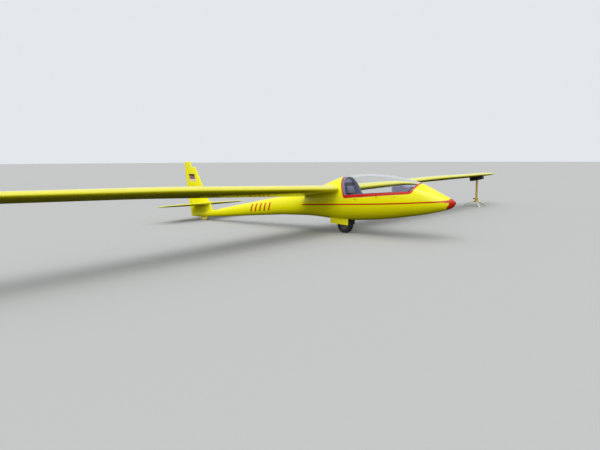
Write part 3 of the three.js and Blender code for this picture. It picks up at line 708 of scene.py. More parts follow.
@dataclass(frozen=True)
class Finish:
    """A surface finish: its name, record slot, colour and gloss."""

    name: str
    slot: str
    colour: Colour
    roughness: float = 0.4
    spread: float = 0.1
    metallic: float = 0.0

    def material(self) -> Material:
        """Builds the material the first time, and finds it after that.

        Returns:
            The material.
        """
        found = bpy.data.materials.get(self.name)
        if found:
            return found
        material = bpy.data.materials.new(self.name)
        coat = Coat(material)
        coat.put({"Metallic": self.metallic})
        self.paint(coat)
        return material

    def paint(self, coat: Coat) -> None:
        """Gives the shader its colour, gloss and relief."""
        raise NotImplementedError

    def rgba(self, factor: float = 1.0) -> tuple[float, float, float, float]:
        """The colour with a factor, as a shader socket takes it."""
        return (*(min(1.0, c * factor) for c in self.colour), 1.0)

    def gloss(self, coat: Coat, value: object) -> NodeSocket:
        """Spreads the roughness about its middle with a pattern."""
        low, high = self.roughness - self.spread / 2, self.roughness + self.spread / 2
        return coat.span(value, 0.25, 0.75, (low, high))


STRIPE = ((0.304, 0.484), (1.286, 0.537), (2.161, 0.587), (2.694, 0.626), (3.089, 0.656))
STRIPE_BOX = (0.2, 3.2, 0.4, 0.75)  # lowest and highest x, lowest and highest z
PORTS = ((1.5, 0.624), (2.226, 0.698))
PORT_COLOUR = (0.03, 0.02, 0.01)
PATCH = {  # lowest and highest z of each tone on the fin
    (0.945, 0.985): (0.03, 0.012, 0.02),
    (0.875, 0.945): (0.2, 0.1, 0.13),
    (0.825, 0.875): (0.6, 0.5, 0.42),
}


@dataclass(frozen=True)
class Gelcoat(Finish):
    """Gloss gelcoat over moulded glass fibre, with its painted marks."""

    marks: Marks = Marks.NONE
    mark_colour: Colour = (0.42, 0.016, 0.004)
    dust: Colour = (0.33, 0.3, 0.2)
    shine: float = 0.25

    def paint(self, coat: Coat) -> None:
        """Fills the gelcoat with faint patches, dust, ripple and marks.

        Args:
            coat: Shader tree to fill.
        """
        mark, axes = opaque(self.mark_colour), coat.axes()
        patches, _ = coat.shared(Effect.MOTTLE, 1.1, 0.35)
        colour = coat.mix(patches, self.rgba(), self.rgba(0.86))
        if self.marks in (Marks.HULL, Marks.NOSE):
            colour = coat.mix(self.stripe(coat, axes), colour, mark)
        if self.marks is Marks.HULL:
            colour = coat.mix(self.bars(coat, axes), colour, mark)
            colour = coat.mix(self.ports(coat, axes), colour, opaque(PORT_COLOUR))
        if self.marks is Marks.FIN:
            slant = coat.plus(axes["X"], coat.product(axes["Z"], 0.3))
            across = coat.band(slant, -2.72, -2.53, 0.002)
            for (low, high), tone in PATCH.items():
                mask = coat.product(across, coat.band(axes["Z"], low, high, 0.002))
                colour = coat.mix(mask, colour, opaque(tone))
        dust, _ = coat.shared(Effect.DUST, 5.0, 0.16)
        smear = coat.noise(coat.vector, 7.0, 5.0, 0.6)
        wave = coat.bump(coat.noise(coat.vector, 9.0, 2.0), 0.0002, 0.35)
        ripple = coat.noise(coat.vector, 380.0, 2.0)
        coat.put(
            {
                "Base Color": coat.mix(dust, colour, opaque(self.dust)),
                "Roughness": self.gloss(coat, coat.most(smear, dust)),
                "Normal": coat.bump(ripple, 0.00002, 0.4, wave),
                "Specular IOR Level": self.shine,
                "Coat Weight": self.shine * 0.4,
                "Coat Roughness": 0.06,
            }
        )

    def stripe(self, coat: Coat, axes: object) -> NodeSocket:
        """Thin line along the hull that opens out into the nose.

        Args:
            coat: Shader tree.
            axes: Its X, Y and Z.

        Returns:
            Mask of the red.
        """
        x0, x1, z0, z1 = STRIPE_BOX
        level = coat.plus(coat.plus(axes["Z"], coat.product(axes["Y"], 0.012)), 0.006)
        node = coat.add("FloatCurve")
        points = node.mapping.curves[0].points
        ends = [(x0, STRIPE[0][1] - 0.006), *STRIPE, (x1, 0.664)]
        places = [((x - x0) / (x1 - x0), (z - z0) / (z1 - z0)) for x, z in ends]
        points[0].location, points[1].location = places[0], places[-1]
        for place in places[1:-1]:
            points.new(*place)
        node.mapping.update()
        coat.feed(node.inputs["Value"], coat.span(axes["X"], x0, x1, even=True))
        line_z = coat.plus(coat.product(node.outputs[0], z1 - z0), z0)
        off = coat.math("ABSOLUTE", coat.less(level, line_z))
        half = coat.plus(coat.product(coat.span(axes["X"], 2.97, 3.075), 0.010), 0.0112)
        line = coat.span(coat.less(off, half), 0.0012, -0.0012)
        inside = coat.product(line, coat.span(axes["X"], 0.26, 0.3))
        if self.marks is Marks.HULL:
            return inside
        drop = coat.math("MINIMUM", coat.less(level, 0.62), 0.0)
        bulge = coat.less(3.081, coat.product(drop, drop, 11.0))
        return coat.most(coat.span(coat.less(axes["X"], bulge), -0.001, 0.001), inside)

    def ports(self, coat: Coat, axes: object) -> NodeSocket:
        """Small dark pressure ports in the hull's sides.

        Args:
            coat: Shader tree.
            axes: Its X, Y and Z.

        Returns:
            Mask of the ports.
        """
        spots = []
        for x, z in PORTS:
            across, up = coat.less(axes["X"], x), coat.less(axes["Z"], z)
            square = coat.plus(coat.product(across, across), coat.product(up, up))
            spots.append(coat.span(square, 0.000072, 0.00005))
        return coat.most(*spots)

    def bars(self, coat: Coat, axes: object) -> NodeSocket:
        """Plain slanted bars on the boom.

        Args:
            coat: Shader tree.
            axes: Its X, Y and Z.

        Returns:
            Mask of the bars.
        """
        slant = coat.less(axes["X"], coat.product(axes["Z"], 0.28))
        bar = coat.band(coat.math("FRACT", coat.math("DIVIDE", slant, 0.118)), 0.2, 0.5, 0.012)
        middle = coat.less(axes["Z"], coat.plus(coat.product(axes["X"], 0.113), 0.462))
        row = coat.band(middle, -0.078, 0.078, 0.002)
        return coat.product(bar, row, coat.band(slant, -1.23, -0.6, 0.002))


@dataclass(frozen=True)
class Glass(Finish):
    """Clear acrylic of the canopy, with the haze of fine scratches."""

    shade: Colour = (0.9, 0.93, 0.92)

    def paint(self, coat: Coat) -> None:
        """Makes a clear sheet that lets light through its shadow.

        Args:
            coat: Shader tree to fill.
        """
        haze = self.gloss(coat, coat.noise(coat.vector, 5.0, 3.0))
        coat.put({"Base Color": self.rgba(), "Transmission Weight": 1.0, "IOR": 1.2})
        coat.put({"Roughness": haze})
        clear = coat.add("BsdfTransparent", {0: opaque(self.shade)})
        path = coat.add("LightPath").outputs
        ray = coat.most(path["Is Shadow Ray"], path["Is Diffuse Ray"])
        mixed = coat.add("MixShader", {0: ray, 1: coat.shader.outputs[0], 2: clear.outputs[0]})
        coat.feed(coat.tree.nodes["Material Output"].inputs["Surface"], mixed.outputs[0])


@dataclass(frozen=True)
class Cloth(Finish):
    """Woven cover of a cushion; each band is painted shade where darker and painted light where lighter, given as its
    lowest z, its highest z and its brightness.
    """

    threads: float = 160.0
    bands: tuple[Point, ...] = ()

    def paint(self, coat: Coat) -> None:
        """Makes a weave with worn, paler patches, level bands of painted shade and painted light, and a soft sheen.

        Args:
            coat: Shader tree to fill.
        """
        weave, relief = coat.shared(Effect.WEAVE, self.threads, 0.5)
        worn, fine = coat.shared(Effect.MOTTLE, 6.0, 0.5)
        colour = coat.mix(weave, self.rgba(1.15), self.rgba(0.55))
        colour = coat.mix(worn, colour, self.rgba(1.7))
        # Painted shade and painted light: each level band darkens or lightens the cloth by height.
        for low, high, factor in self.bands:
            mask = coat.band(coat.axes()["Z"], low, high, 0.006)
            colour = coat.mix(mask, colour, self.rgba(factor))
        normal = coat.bump(relief, 0.0007, 0.7)
        coat.put({"Base Color": colour, "Roughness": self.gloss(coat, fine), "Normal": normal})
        coat.put({"Sheen Weight": 0.3})


@dataclass(frozen=True)
class Paint(Finish):
    """Brushed or sprayed paint on metal, chipped down to what is under it."""

    under: Colour = (0.16, 0.13, 0.11)
    chips: float = 0.7
    chip_scale: float = 30.0
    dust: Colour = (0.3, 0.27, 0.2)

    def paint(self, coat: Coat) -> None:
        """Makes a coat with patches, chips and dust.

        Args:
            coat: Shader tree to fill.
        """
        patches, fine = coat.shared(Effect.MOTTLE, 7.0, 0.6)
        chips, relief = coat.shared(Effect.CHIPS, self.chip_scale, self.chips)
        dust, _ = coat.shared(Effect.DUST, 20.0, 0.3)
        colour = coat.mix(patches, self.rgba(), self.rgba(0.72))
        colour = coat.mix(chips, colour, opaque(self.under))
        coat.put({"Base Color": coat.mix(dust, colour, opaque(self.dust))})
        coat.put({"Roughness": self.gloss(coat, fine), "Normal": coat.bump(relief, -0.0002, 0.6)})


@dataclass(frozen=True)
class Metal(Finish):
    """Bare metal, drawn or cast, with dull patches."""

    grain: float = 90.0

    def paint(self, coat: Coat) -> None:
        """Makes metal with fine grain and stains.

        Args:
            coat: Shader tree to fill.
        """
        grain = coat.noise(coat.vector, self.grain, 4.0, 0.7)
        stain, _ = coat.shared(Effect.MOTTLE, 18.0, 0.55)
        coat.put({"Base Color": coat.mix(stain, self.rgba(), self.rgba(0.55))})
        coat.put({"Roughness": self.gloss(coat, grain), "Normal": coat.bump(grain, 0.00015, 0.5)})


@dataclass(frozen=True)
class Rubber(Finish):
    """Tyre rubber with dried dirt."""

    dirt: Colour = (0.12, 0.105, 0.075)

    def paint(self, coat: Coat) -> None:
        """Makes black rubber with dirt in patches.

        Args:
            coat: Shader tree to fill.
        """
        patches, fine = coat.shared(Effect.MOTTLE, 16.0, 0.5)
        normal = coat.bump(coat.noise(coat.vector, 500.0, 3.0), 0.0003, 0.4)
        coat.put({"Base Color": coat.mix(patches, self.rgba(), opaque(self.dirt))})
        coat.put({"Roughness": self.gloss(coat, fine), "Normal": normal})


@dataclass(frozen=True)
class Plastic(Finish):
    """Moulded or painted matt surface with a fine speckle."""

    speckle: float = 0.12
    speckle_scale: float = 700.0

    def paint(self, coat: Coat) -> None:
        """Makes a speckled coat with a pebbled skin.

        Args:
            coat: Shader tree to fill.
        """
        dots = coat.noise(coat.vector, self.speckle_scale, 1.0)
        worn, fine = coat.shared(Effect.MOTTLE, 9.0, 0.4)
        dark = self.rgba(1.0 - 3 * self.speckle)
        colour = coat.mix(coat.span(dots, 0.45, 0.6), self.rgba(), dark)
        coat.put({"Base Color": coat.mix(worn, colour, self.rgba(0.8))})
        coat.put({"Roughness": self.gloss(coat, fine), "Normal": coat.bump(dots, 0.0002, 0.4)})


YELLOW = (0.70, 0.655, 0.004)
BLUE_GREY = (0.11, 0.11, 0.19)
# Painted shade in a dark band just above the headrest, and painted light across the lining's lit top.
PAINTED_SHADE_AND_LIGHT_BANDS = ((0.838, 0.893, 0.3), (0.9, 1.2, 3.4))
NOSE_PAINT = Gelcoat("nose_gelcoat", "red_gelcoat", YELLOW, 0.22, 0.12, marks=Marks.NOSE)
HULL_PAINT = Gelcoat("hull_gelcoat", "yellow_gelcoat", YELLOW, 0.22, 0.12, marks=Marks.HULL)
FIN_PAINT = Gelcoat("fin_gelcoat", "yellow_gelcoat", YELLOW, 0.22, 0.12, marks=Marks.FIN)
WING_PAINT = Gelcoat("wing_gelcoat", "yellow_gelcoat", YELLOW, 0.22, 0.12, shine=0.7)
RED_PAINT = Gelcoat("red_gelcoat", "red_gelcoat", (0.52, 0.012, 0.004), 0.25, 0.12)
CANOPY = Glass("canopy_acrylic", "canopy_glass", (0.97, 0.985, 0.98), 0.006, 0.01)
TRIM = Cloth("blue_grey_cloth", "upholstery", BLUE_GREY, 0.85, 0.15)
# Cloth of the rear lining, with painted shade and painted light in level bands.
LINING_PAINTED_SHADE_AND_LIGHT = Cloth("cloth_painted_shade_and_light", "upholstery", BLUE_GREY, 0.85, 0.15, bands=PAINTED_SHADE_AND_LIGHT_BANDS)
PAD_COVER = Cloth("black_pad_cover", "pad_foam", (0.006, 0.006, 0.007), 0.8, 0.2, threads=110.0)
HOOD_CLOTH = Cloth("hood_cloth", "black_plastic", (0.17, 0.15, 0.24), 0.85, 0.15, threads=260.0)
SHELL_PAINT = Plastic("cockpit_paint", "cockpit_shell", (0.36, 0.35, 0.31), 0.7, 0.15)
BAY_PAINT = Plastic("bay_paint", "cockpit_shell", (0.16, 0.155, 0.12), 0.75, 0.15)
BLACK = Plastic("black_coat", "black_plastic", (0.012, 0.012, 0.013), 0.6, 0.2)
DIAL = Plastic("dial_face", "black_plastic", (0.01, 0.01, 0.011), 0.35, 0.1, speckle=0.02)
DIAL_WHITE = Plastic("dial_marks", "black_plastic", (0.75, 0.75, 0.72), 0.5, 0.1, speckle=0.02)
TYRE = Rubber("tyre_rubber", "tyre_rubber", (0.012, 0.012, 0.012), 0.75, 0.2)
ALLOY = Metal("cast_alloy", "alloy", (0.2, 0.205, 0.22), 0.5, 0.2, metallic=0.6)
STEEL = Metal("plain_steel", "steel", (0.3, 0.3, 0.31), 0.4, 0.2, metallic=0.95)
SKID_PAINT = Paint(
    "skid_paint", "yellow_gelcoat", (0.62, 0.55, 0.08), 0.5, 0.2, under=(0.4, 0.33, 0.2), chips=0.9
)
STAND_STEEL = Paint(
    "stand_steel", "steel", (0.05, 0.05, 0.05), 0.5, 0.2, under=(0.2, 0.12, 0.07), chips=0.6
)
STAND_YELLOW = Paint("stand_yellow", "stand_yellow", (0.82, 0.46, 0.05), 0.45, 0.2)
STAND_CREAM = Paint("stand_cream", "stand_cream", (0.88, 0.88, 0.79), 0.45, 0.2)


def cad_node(name: str, finish: Finish) -> None:
    """Gives a CAD node that stays its finish."""
    painted(bpy.data.objects[name], finish)


def painted(obj: Object, finish: Finish) -> Object:
    """Gives a piece its finish.

    Args:
        obj: Finished piece.
        finish: Its finish.

    Returns:
        The same object.
    """
    obj.data.materials.clear()
    obj.data.materials.append(finish.material())
    return obj


def dress(obj: Object, finish: Finish, body: str, *nodes: str) -> Object:
    """Gives a piece its finish and body, and the nodes that it stands for.

    Args:
        obj: Finished piece.
        finish: Its finish.
        body: Body that it rides on.
        nodes: CAD nodes that it replaces.

    Returns:
        The same object.
    """
    painted(obj, finish)
    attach(obj, body)
    if nodes:
        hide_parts(*nodes)
    LOG.info("%s: %d faces on %s", obj.name, len(obj.data.polygons), body)
    return obj


def lined(obj: Object, finish: Finish, inside: Callable[[Vector, Vector], bool]) -> None:
    """Paints the faces that a test picks with a further finish.

    Args:
        obj: Piece that already has its own finish.
        finish: Further finish.
        inside: Test of a face's centre and normal.
    """
    obj.data.materials.append(finish.material())
    index = len(obj.data.materials) - 1
    for face in obj.data.polygons:
        if inside(face.center, face.normal):
            face.material_index = index


def under_skin(centre: Vector, _normal: Vector) -> bool:
    """Tells whether a place on the leaned aircraft is under the hull's outer surface.

    Args:
        centre: Place on the leaned aircraft.
        _normal: Normal there; it isn't needed.

    Returns:
        Whether it lies under the skin.
    """
    level = LEAN.inverted() @ centre
    depth = 0.003
    beside = abs(level.y) < HULL.half_width(level.x, level.z) - depth
    return beside and level.z < HULL.crown(level.x, level.y) - depth


# Forms of the aircraft


def half_thickness(share: float, thickness: float) -> float:
    """Half the depth of an aerofoil at a share of its chord.

    Args:
        share: Share of the chord.
        thickness: Depth as a share of the chord.

    Returns:
        The height.
    """
    t = 5 * thickness
    open_part = 0.2969 * math.sqrt(share) - 0.126 * share - 0.3516 * share**2
    return t * (open_part + 0.2843 * share**3 - 0.1036 * share**4) + 0.002 * share


def camber_line(share: float, camber: float) -> float:
    """Height of the middle line of an aerofoil at a share of its chord.

    Args:
        share: Share of the chord.
        camber: Largest height.

    Returns:
        The height.
    """
    peak = 0.4
    if share < peak:
        return camber * (2 * peak * share - share**2) / peak**2
    return camber * (1 - 2 * peak + 2 * peak * share - share**2) / (1 - peak) ** 2


def shares(count: int) -> list[float]:
    """Shares of the chord from the trailing edge to the nose, closest at the nose."""
    return [(1 + math.cos(math.pi * k / count)) / 2 for k in range(count + 1)]


def aerofoil(thickness: float, camber: float, count: int = 34) -> list[Pair]:
    """Closed outline of an aerofoil.

    Args:
        thickness: Depth as a share of the chord.
        camber: Height of the middle line.
        count: Steps of each skin.

    Returns:
        Points as (share of the chord, height), from the trailing edge over the top and back below.
    """
    upper = [(s, camber_line(s, camber) + half_thickness(s, thickness)) for s in shares(count)]
    lower = [(s, camber_line(s, camber) - half_thickness(s, thickness)) for s in reversed(shares(count)[:-1])]
    return upper + lower


def pitched(x: float, z: float, pitch: float, back: float, up: float) -> Pair:
    """Place behind and over a point, along a line that is pitched down to the rear."""
    cosine, sine = math.cos(pitch), math.sin(pitch)
    return x - back * cosine - up * sine, z - back * sine + up * cosine


HULL_STATIONS = (
    # x, top, bottom, half width, height of the widest line
    (3.160, 0.636, 0.616, 0.006, 0.626),
    (3.158, 0.643, 0.605, 0.018, 0.626),
    (3.142, 0.657, 0.578, 0.038, 0.626),
    (3.100, 0.684, 0.542, 0.068, 0.627),
    (3.034, 0.712, 0.512, 0.099, 0.629),
    (2.920, 0.766, 0.481, 0.141, 0.633),
    (2.750, 0.846, 0.439, 0.186, 0.640),
    (2.592, 0.915, 0.405, 0.219, 0.646),
    (2.400, 0.967, 0.373, 0.248, 0.650),
    (2.150, 1.016, 0.330, 0.273, 0.648),
    (1.900, 1.045, 0.296, 0.287, 0.640),
    (1.640, 1.056, 0.266, 0.292, 0.630),
    (1.400, 1.046, 0.246, 0.290, 0.618),
    (1.190, 1.015, 0.236, 0.281, 0.606),
    (1.060, 0.995, 0.234, 0.272, 0.596),
    (0.834, 0.917, 0.247, 0.256, 0.570),
    (0.604, 0.827, 0.261, 0.236, 0.540),
    (0.335, 0.745, 0.268, 0.211, 0.505),
    (0.020, 0.664, 0.258, 0.187, 0.462),
    (-0.279, 0.603, 0.247, 0.168, 0.425),
    (-0.665, 0.541, 0.217, 0.149, 0.379),
    (-1.141, 0.448, 0.178, 0.125, 0.313),
    (-1.764, 0.326, 0.123, 0.095, 0.224),
    (-2.275, 0.225, 0.084, 0.069, 0.154),
    (-2.560, 0.184, 0.063, 0.050, 0.122),
    (-2.868, 0.142, 0.063, 0.020, 0.100),
)


@dataclass
class HullForm:
    """Smooth surface through the fuselage stations."""

    stations: tuple[tuple[float, ...], ...] = HULL_STATIONS
    sides: int = 96
    step: float = 0.024
    roundness: float = 0.9
    rows: np.ndarray = field(init=False)

    def __post_init__(self) -> None:
        """Runs a smooth curve through the stations."""
        table = np.array(self.stations)
        gaps = np.linalg.norm(np.diff(table, axis=0), axis=1)
        slopes = np.diff(table, axis=0) / gaps[:, None]
        inner = (slopes[1:] * gaps[:-1, None] + slopes[:-1] * gaps[1:, None]) / (gaps[1:] + gaps[:-1])[:, None]
        tangents = np.concatenate([slopes[:1], inner, slopes[-1:]])
        rows = []
        for i, gap in enumerate(gaps):
            count = max(3, int(round(gap / self.step)))
            for t in np.arange(count) / count:
                a = 2 * t**3 - 3 * t**2 + 1
                b = t**3 - 2 * t**2 + t
                c = -2 * t**3 + 3 * t**2
                d = t**3 - t**2
                row = a * table[i] + b * gap * tangents[i] + c * table[i + 1] + d * gap * tangents[i + 1]
                rows.append(row)
        rows.append(table[-1])
        self.rows = np.array(rows)

    def at(self, x: float) -> np.ndarray:
        """Top, bottom, half width and height of the widest line at a station."""
        flipped = self.rows[::-1]
        return np.array([np.interp(x, flipped[:, 0], flipped[:, k]) for k in range(1, 5)])

    def half_width(self, x: float, z: float) -> float:
        """Half width of the hull at a station and a height.

        Args:
            x: Station.
            z: Height.

        Returns:
            The half width.
        """
        top, bottom, half, mid = self.at(x)
        up = min(1.0, abs(z - mid) / ((top - mid) if z > mid else (mid - bottom)))
        sine = up ** (1 / self.roundness)
        return half * math.sqrt(max(0.0, 1 - sine**2)) ** self.roundness

    def crown(self, x: float, y: float) -> float:
        """Height of the upper surface at a station and a distance from the middle.

        Args:
            x: Station.
            y: Distance from the middle.

        Returns:
            The height.
        """
        top, _, half, mid = self.at(x)
        cosine = min(1.0, abs(y) / half) ** (1 / self.roundness)
        return mid + (top - mid) * math.sqrt(max(0.0, 1 - cosine**2)) ** self.roundness

    def solid(self, name: str, inset: float = 0.0) -> Object:
        """Closed hull, moved in by an inset.

        Args:
            name: Name of the object.
            inset: Distance that the surface is moved in.

        Returns:
            The closed mesh.
        """
        angles = np.arange(self.sides) * 2 * math.pi / self.sides
        across = np.sign(np.cos(angles)) * np.abs(np.cos(angles)) ** self.roundness
        up = np.sign(np.sin(angles)) * np.abs(np.sin(angles)) ** self.roundness
        rings = []
        for x, top, bottom, half, mid in self.rows:
            if inset and half < 3 * inset:
                continue
            height = np.where(up > 0, top - mid - inset, mid - bottom - inset)
            ring = np.stack([np.full(self.sides, x), across * (half - inset), mid + up * height], axis=1)
            rings.append(ring)
        return skin(name, rings)


HULL = HullForm()


@dataclass(frozen=True)
class WingForm:
    """Surface of either wing, with its two panels eased into each other."""

    root_y: float = 0.33
    break_y: float = 3.9
    ease: float = 0.45
    half_span: float = 7.5
    round_y: float = 7.25
    nose_x: float = 1.139
    nose_z: float = 0.794
    inner_rise: float = 0.0289
    outer_rise: float = 0.0145
    root_chord: float = 0.804
    taper: float = 0.0423
    incidence: float = 0.2
    thickness: float = 0.178
    camber: float = 0.04

    def chord(self, y: float) -> float:
        """Chord at a distance from the middle."""
        return self.root_chord - self.taper * (max(y, self.root_y) - self.root_y)

    def rise(self, y: float) -> float:
        """Height of the leading edge over its root.

        Args:
            y: Distance from the middle.

        Returns:
            The height.
        """
        if y <= self.root_y:
            return 0.0
        bend = self.inner_rise - self.outer_rise
        straight = self.inner_rise * (y - self.root_y)
        past = y - (self.break_y - self.ease)
        if past <= 0:
            return straight
        if past < 2 * self.ease:
            return straight - bend * past**2 / (4 * self.ease)
        return straight - bend * (past - self.ease)

    def slim(self, y: float) -> float:
        """Share of the full thickness that the section has.

        Args:
            y: Distance from the middle.

        Returns:
            The share.
        """
        flat = float(np.interp(y, (self.root_y, self.break_y, self.round_y), (1.0, 0.97, 0.88)))
        t = max(0.0, (y - self.round_y) / (self.half_span - self.round_y))
        return flat * math.sqrt(max(0.0, 1 - t**2.4))

    def draw(self, y: float) -> float:
        """Share of the chord by which the tip draws in."""
        return 0.15 * max(0.0, (y - self.round_y) / (self.half_span - self.round_y)) ** 6

    def point(self, side: Side, y: float, share: float, height: float) -> Point:
        """Point of the wing.

        Args:
            side: Which wing.
            y: Distance from the middle.
            share: Share of the chord behind the nose.
            height: Height over the chord line as a share of the chord.

        Returns:
            The point.
        """
        chord = self.chord(y)
        draw = self.draw(y)
        back, up = (draw + share * (1 - 1.6 * draw)) * chord, height * chord
        x, z = pitched(self.nose_x, self.nose_z + self.rise(y), self.incidence, back, up)
        return (x, side.value * y, z)

    def ring(self, side: Side, y: float, count: int = 34) -> list[Point]:
        """Closed section of the wing at a distance from the middle."""
        return [self.point(side, y, s, h) for s, h in aerofoil(self.thickness * self.slim(y), self.camber, count)]

    def hinge(self, side: Side, y: float, share: float) -> tuple[Vector, float]:
        """Hinge point of the aileron and the radius of its nose."""
        radius = half_thickness(share, self.thickness * self.slim(y)) * self.chord(y)
        return Vector(self.point(side, y, share, camber_line(share, self.camber))), radius


WING = WingForm()


@dataclass(frozen=True)
class FinForm:
    """Surface of the fin and rudder together."""

    thickness: float = 0.1
    bow: float = 0.025

    def edges(self, z: float) -> tuple[float, float, float]:
        """Leading edge, hinge line and trailing edge at a height."""
        rise = (z - 0.056) / 1.194
        return (
            -2.275 - (z - 0.225) * 0.543 / 0.914,
            -2.875 - (z - 0.15) * 0.115 / 0.96,
            -2.941 - 0.219 * rise - self.bow * 4 * rise * (1 - rise),
        )

    def half(self, z: float, share: float) -> float:
        """Half thickness at a height and a share of the chord."""
        nose, _, tail = self.edges(z)
        return half_thickness(share, self.thickness) * (nose - tail)

    def ring(self, z: float, slim: float = 1.0, count: int = 26) -> list[Point]:
        """Closed section at a height.

        Args:
            z: Height.
            slim: Share of the full thickness.
            count: Steps of each skin.

        Returns:
            The section.
        """
        nose, _, tail = self.edges(z)
        chord, outline = nose - tail, aerofoil(self.thickness, 0.0, count)
        return [(nose - s * chord, h * slim * chord, z) for s, h in outline]

    def hinge(self, z: float) -> tuple[Vector, float, float]:
        """Hinge point, radius of the rudder's nose and share of the chord.

        Args:
            z: Height.

        Returns:
            Point, radius and share.
        """
        nose, hinge, tail = self.edges(z)
        share = (nose - hinge) / (nose - tail)
        return Vector((hinge, 0, z)), self.half(z, share), share


FIN = FinForm()


@dataclass(frozen=True)
class TailForm:
    """Surface of either half of the tailplane and elevator."""

    root_y: float = 0.086
    tip_y: float = 1.13
    nose_z: float = 0.373
    incidence: float = 0.145
    hinge_x: float = -2.7
    thickness: float = 0.11

    def section(self, y: float) -> Pair:
        """Leading edge and chord at a distance from the middle."""
        out = (y - self.root_y) / (self.tip_y - self.root_y)
        return -2.37 - 0.12 * out, 0.573 - 0.311 * out

    def point(self, side: Side, y: float, share: float, height: float) -> Point:
        """Point of the tailplane, as WingForm.point gives it.

        Args:
            side: Which half.
            y: Distance from the middle.
            share: Share of the chord.
            height: Height as a share of the chord.

        Returns:
            The point.
        """
        nose, chord = self.section(y)
        drop = (self.section(self.root_y)[0] - nose) * math.tan(self.incidence)
        x, z = pitched(nose, self.nose_z - drop, self.incidence, share * chord, height * chord)
        return (x, side.value * y, z)

    def hinge(self, side: Side, y: float) -> tuple[Vector, float, float]:
        """Hinge point, radius of the elevator's nose and share of the chord.

        Args:
            side: Which half.
            y: Distance from the middle.

        Returns:
            Point, radius and share.
        """
        nose, chord = self.section(y)
        share = (nose - self.hinge_x) / (chord * math.cos(self.incidence))
        return Vector(self.point(side, y, share, 0.0)), half_thickness(share, self.thickness) * chord, share


TAIL = TailForm()


def nose_arc(hinge: Vector, radius: float, incidence: float, steps: int = 12) -> list[Point]:
    """Round nose of a hinged surface, from its top forwards to its bottom.

    Args:
        hinge: Point on the hinge line.
        radius: Radius of the nose.
        incidence: Pitch of the chord.
        steps: Steps of the arc.

    Returns:
        Points of the arc.
    """
    points = []
    for k in range(steps + 1):
        angle = math.pi / 2 + math.pi * k / steps
        back, up = math.cos(angle) * radius, math.sin(angle) * radius
        x, z = pitched(hinge.x, hinge.z, incidence, back, up)
        points.append((x, hinge.y, z))
    return points


def cove_ring(hinge: Vector, radius: float, incidence: float) -> list[Point]:
    """Section of the cut for a hinged surface: its nose, larger and open to the rear.

    Args:
        hinge: Point on the hinge line.
        radius: Radius of the cut.
        incidence: Pitch of the chord.

    Returns:
        The closed section.
    """
    reach, rear = 0.3, 0.9
    corners = [(0, -reach), (rear, -reach), (rear, reach), (0, reach)]
    outer = [pitched(hinge.x, hinge.z, incidence, back, up) for back, up in corners]
    return [*nose_arc(hinge, radius, incidence, 16), *((x, hinge.y, z) for x, z in outer)]


@dataclass(frozen=True)
class HingeEye:
    """Arm of a fixed surface round a pin that spans a slot in the moving one."""

    pin: float = 0.0026
    hole: float = 0.0032
    radius: float = 0.006
    slot: float = 0.0082
    width: float = 0.007
    side_gap: float = 0.003
    pin_end: float = 0.006
    arm_half: float = 0.003
    reach: float = 0.01

    @staticmethod
    def frames(start: Vector, end: Vector, places: Sequence[float], pitch: float) -> list[Matrix]:
        """Frames along a hinge line: x towards the fixed surface, y along the line.

        Args:
            start: One end of the line.
            end: Its other end.
            places: Shares of its length.
            pitch: Pitch of the chord.

        Returns:
            A frame at each place.
        """
        along = (end - start).normalized()
        towards = Vector((math.cos(pitch), 0, math.sin(pitch)))
        forward = (towards - along * towards.dot(along)).normalized()
        turn = Matrix((forward, along, forward.cross(along))).transposed().to_4x4()
        return [Matrix.Translation(start.lerp(end, share)) @ turn for share in places]

    @staticmethod
    def rod(name: str, frame: Matrix, radius: float, half: float) -> Object:
        """Round bar about the hinge line."""
        return lathe(name, [(-half, radius), (half, radius)], frame.col[1].to_3d(), frame.translation, 20)

    @staticmethod
    def bar(name: str, frame: Matrix, low: Point, high: Point) -> Object:
        """Square bar in a frame.

        Args:
            name: Name of the object.
            frame: Frame it lies in.
            low: Lowest corner.
            high: Highest corner.

        Returns:
            The bar.
        """
        obj = block(name, low, high)
        obj.data.transform(frame)
        return obj

    def join(self, fixed: Object, frames: Sequence[Matrix], radius: float) -> None:
        """Adds an arm with its eye at each frame.

        Args:
            fixed: Fixed surface.
            frames: Frames of the eyes.
            radius: Radius of the moving surface's nose.
        """
        half, depth = self.width / 2, self.arm_half
        for frame in frames:
            arm = self.rod("arm", frame, self.radius, half)
            strip = self.bar("strip", frame, (0, -half, -depth), (radius + self.reach, half, depth))
            combine(arm, strip, Join.ADD)
            combine(arm, self.rod("hole", frame, self.hole, self.width), Join.CUT)
            combine(fixed, arm, Join.ADD)

    def slot_in(self, moving: Object, frames: Sequence[Matrix]) -> None:
        """Cuts a slot with a pin across it at each frame.

        Args:
            moving: Moving surface.
            frames: Frames of the eyes.
        """
        half = self.width / 2 + self.side_gap
        for frame in frames:
            slot = self.rod("slot", frame, self.slot, half)
            combine(slot, self.bar("front", frame, (0, -half, -0.2), (0.3, half, 0.2)), Join.ADD)
            combine(moving, slot, Join.CUT)
            combine(moving, self.rod("pin", frame, self.pin, half + self.pin_end), Join.ADD)


EYE = HingeEye()


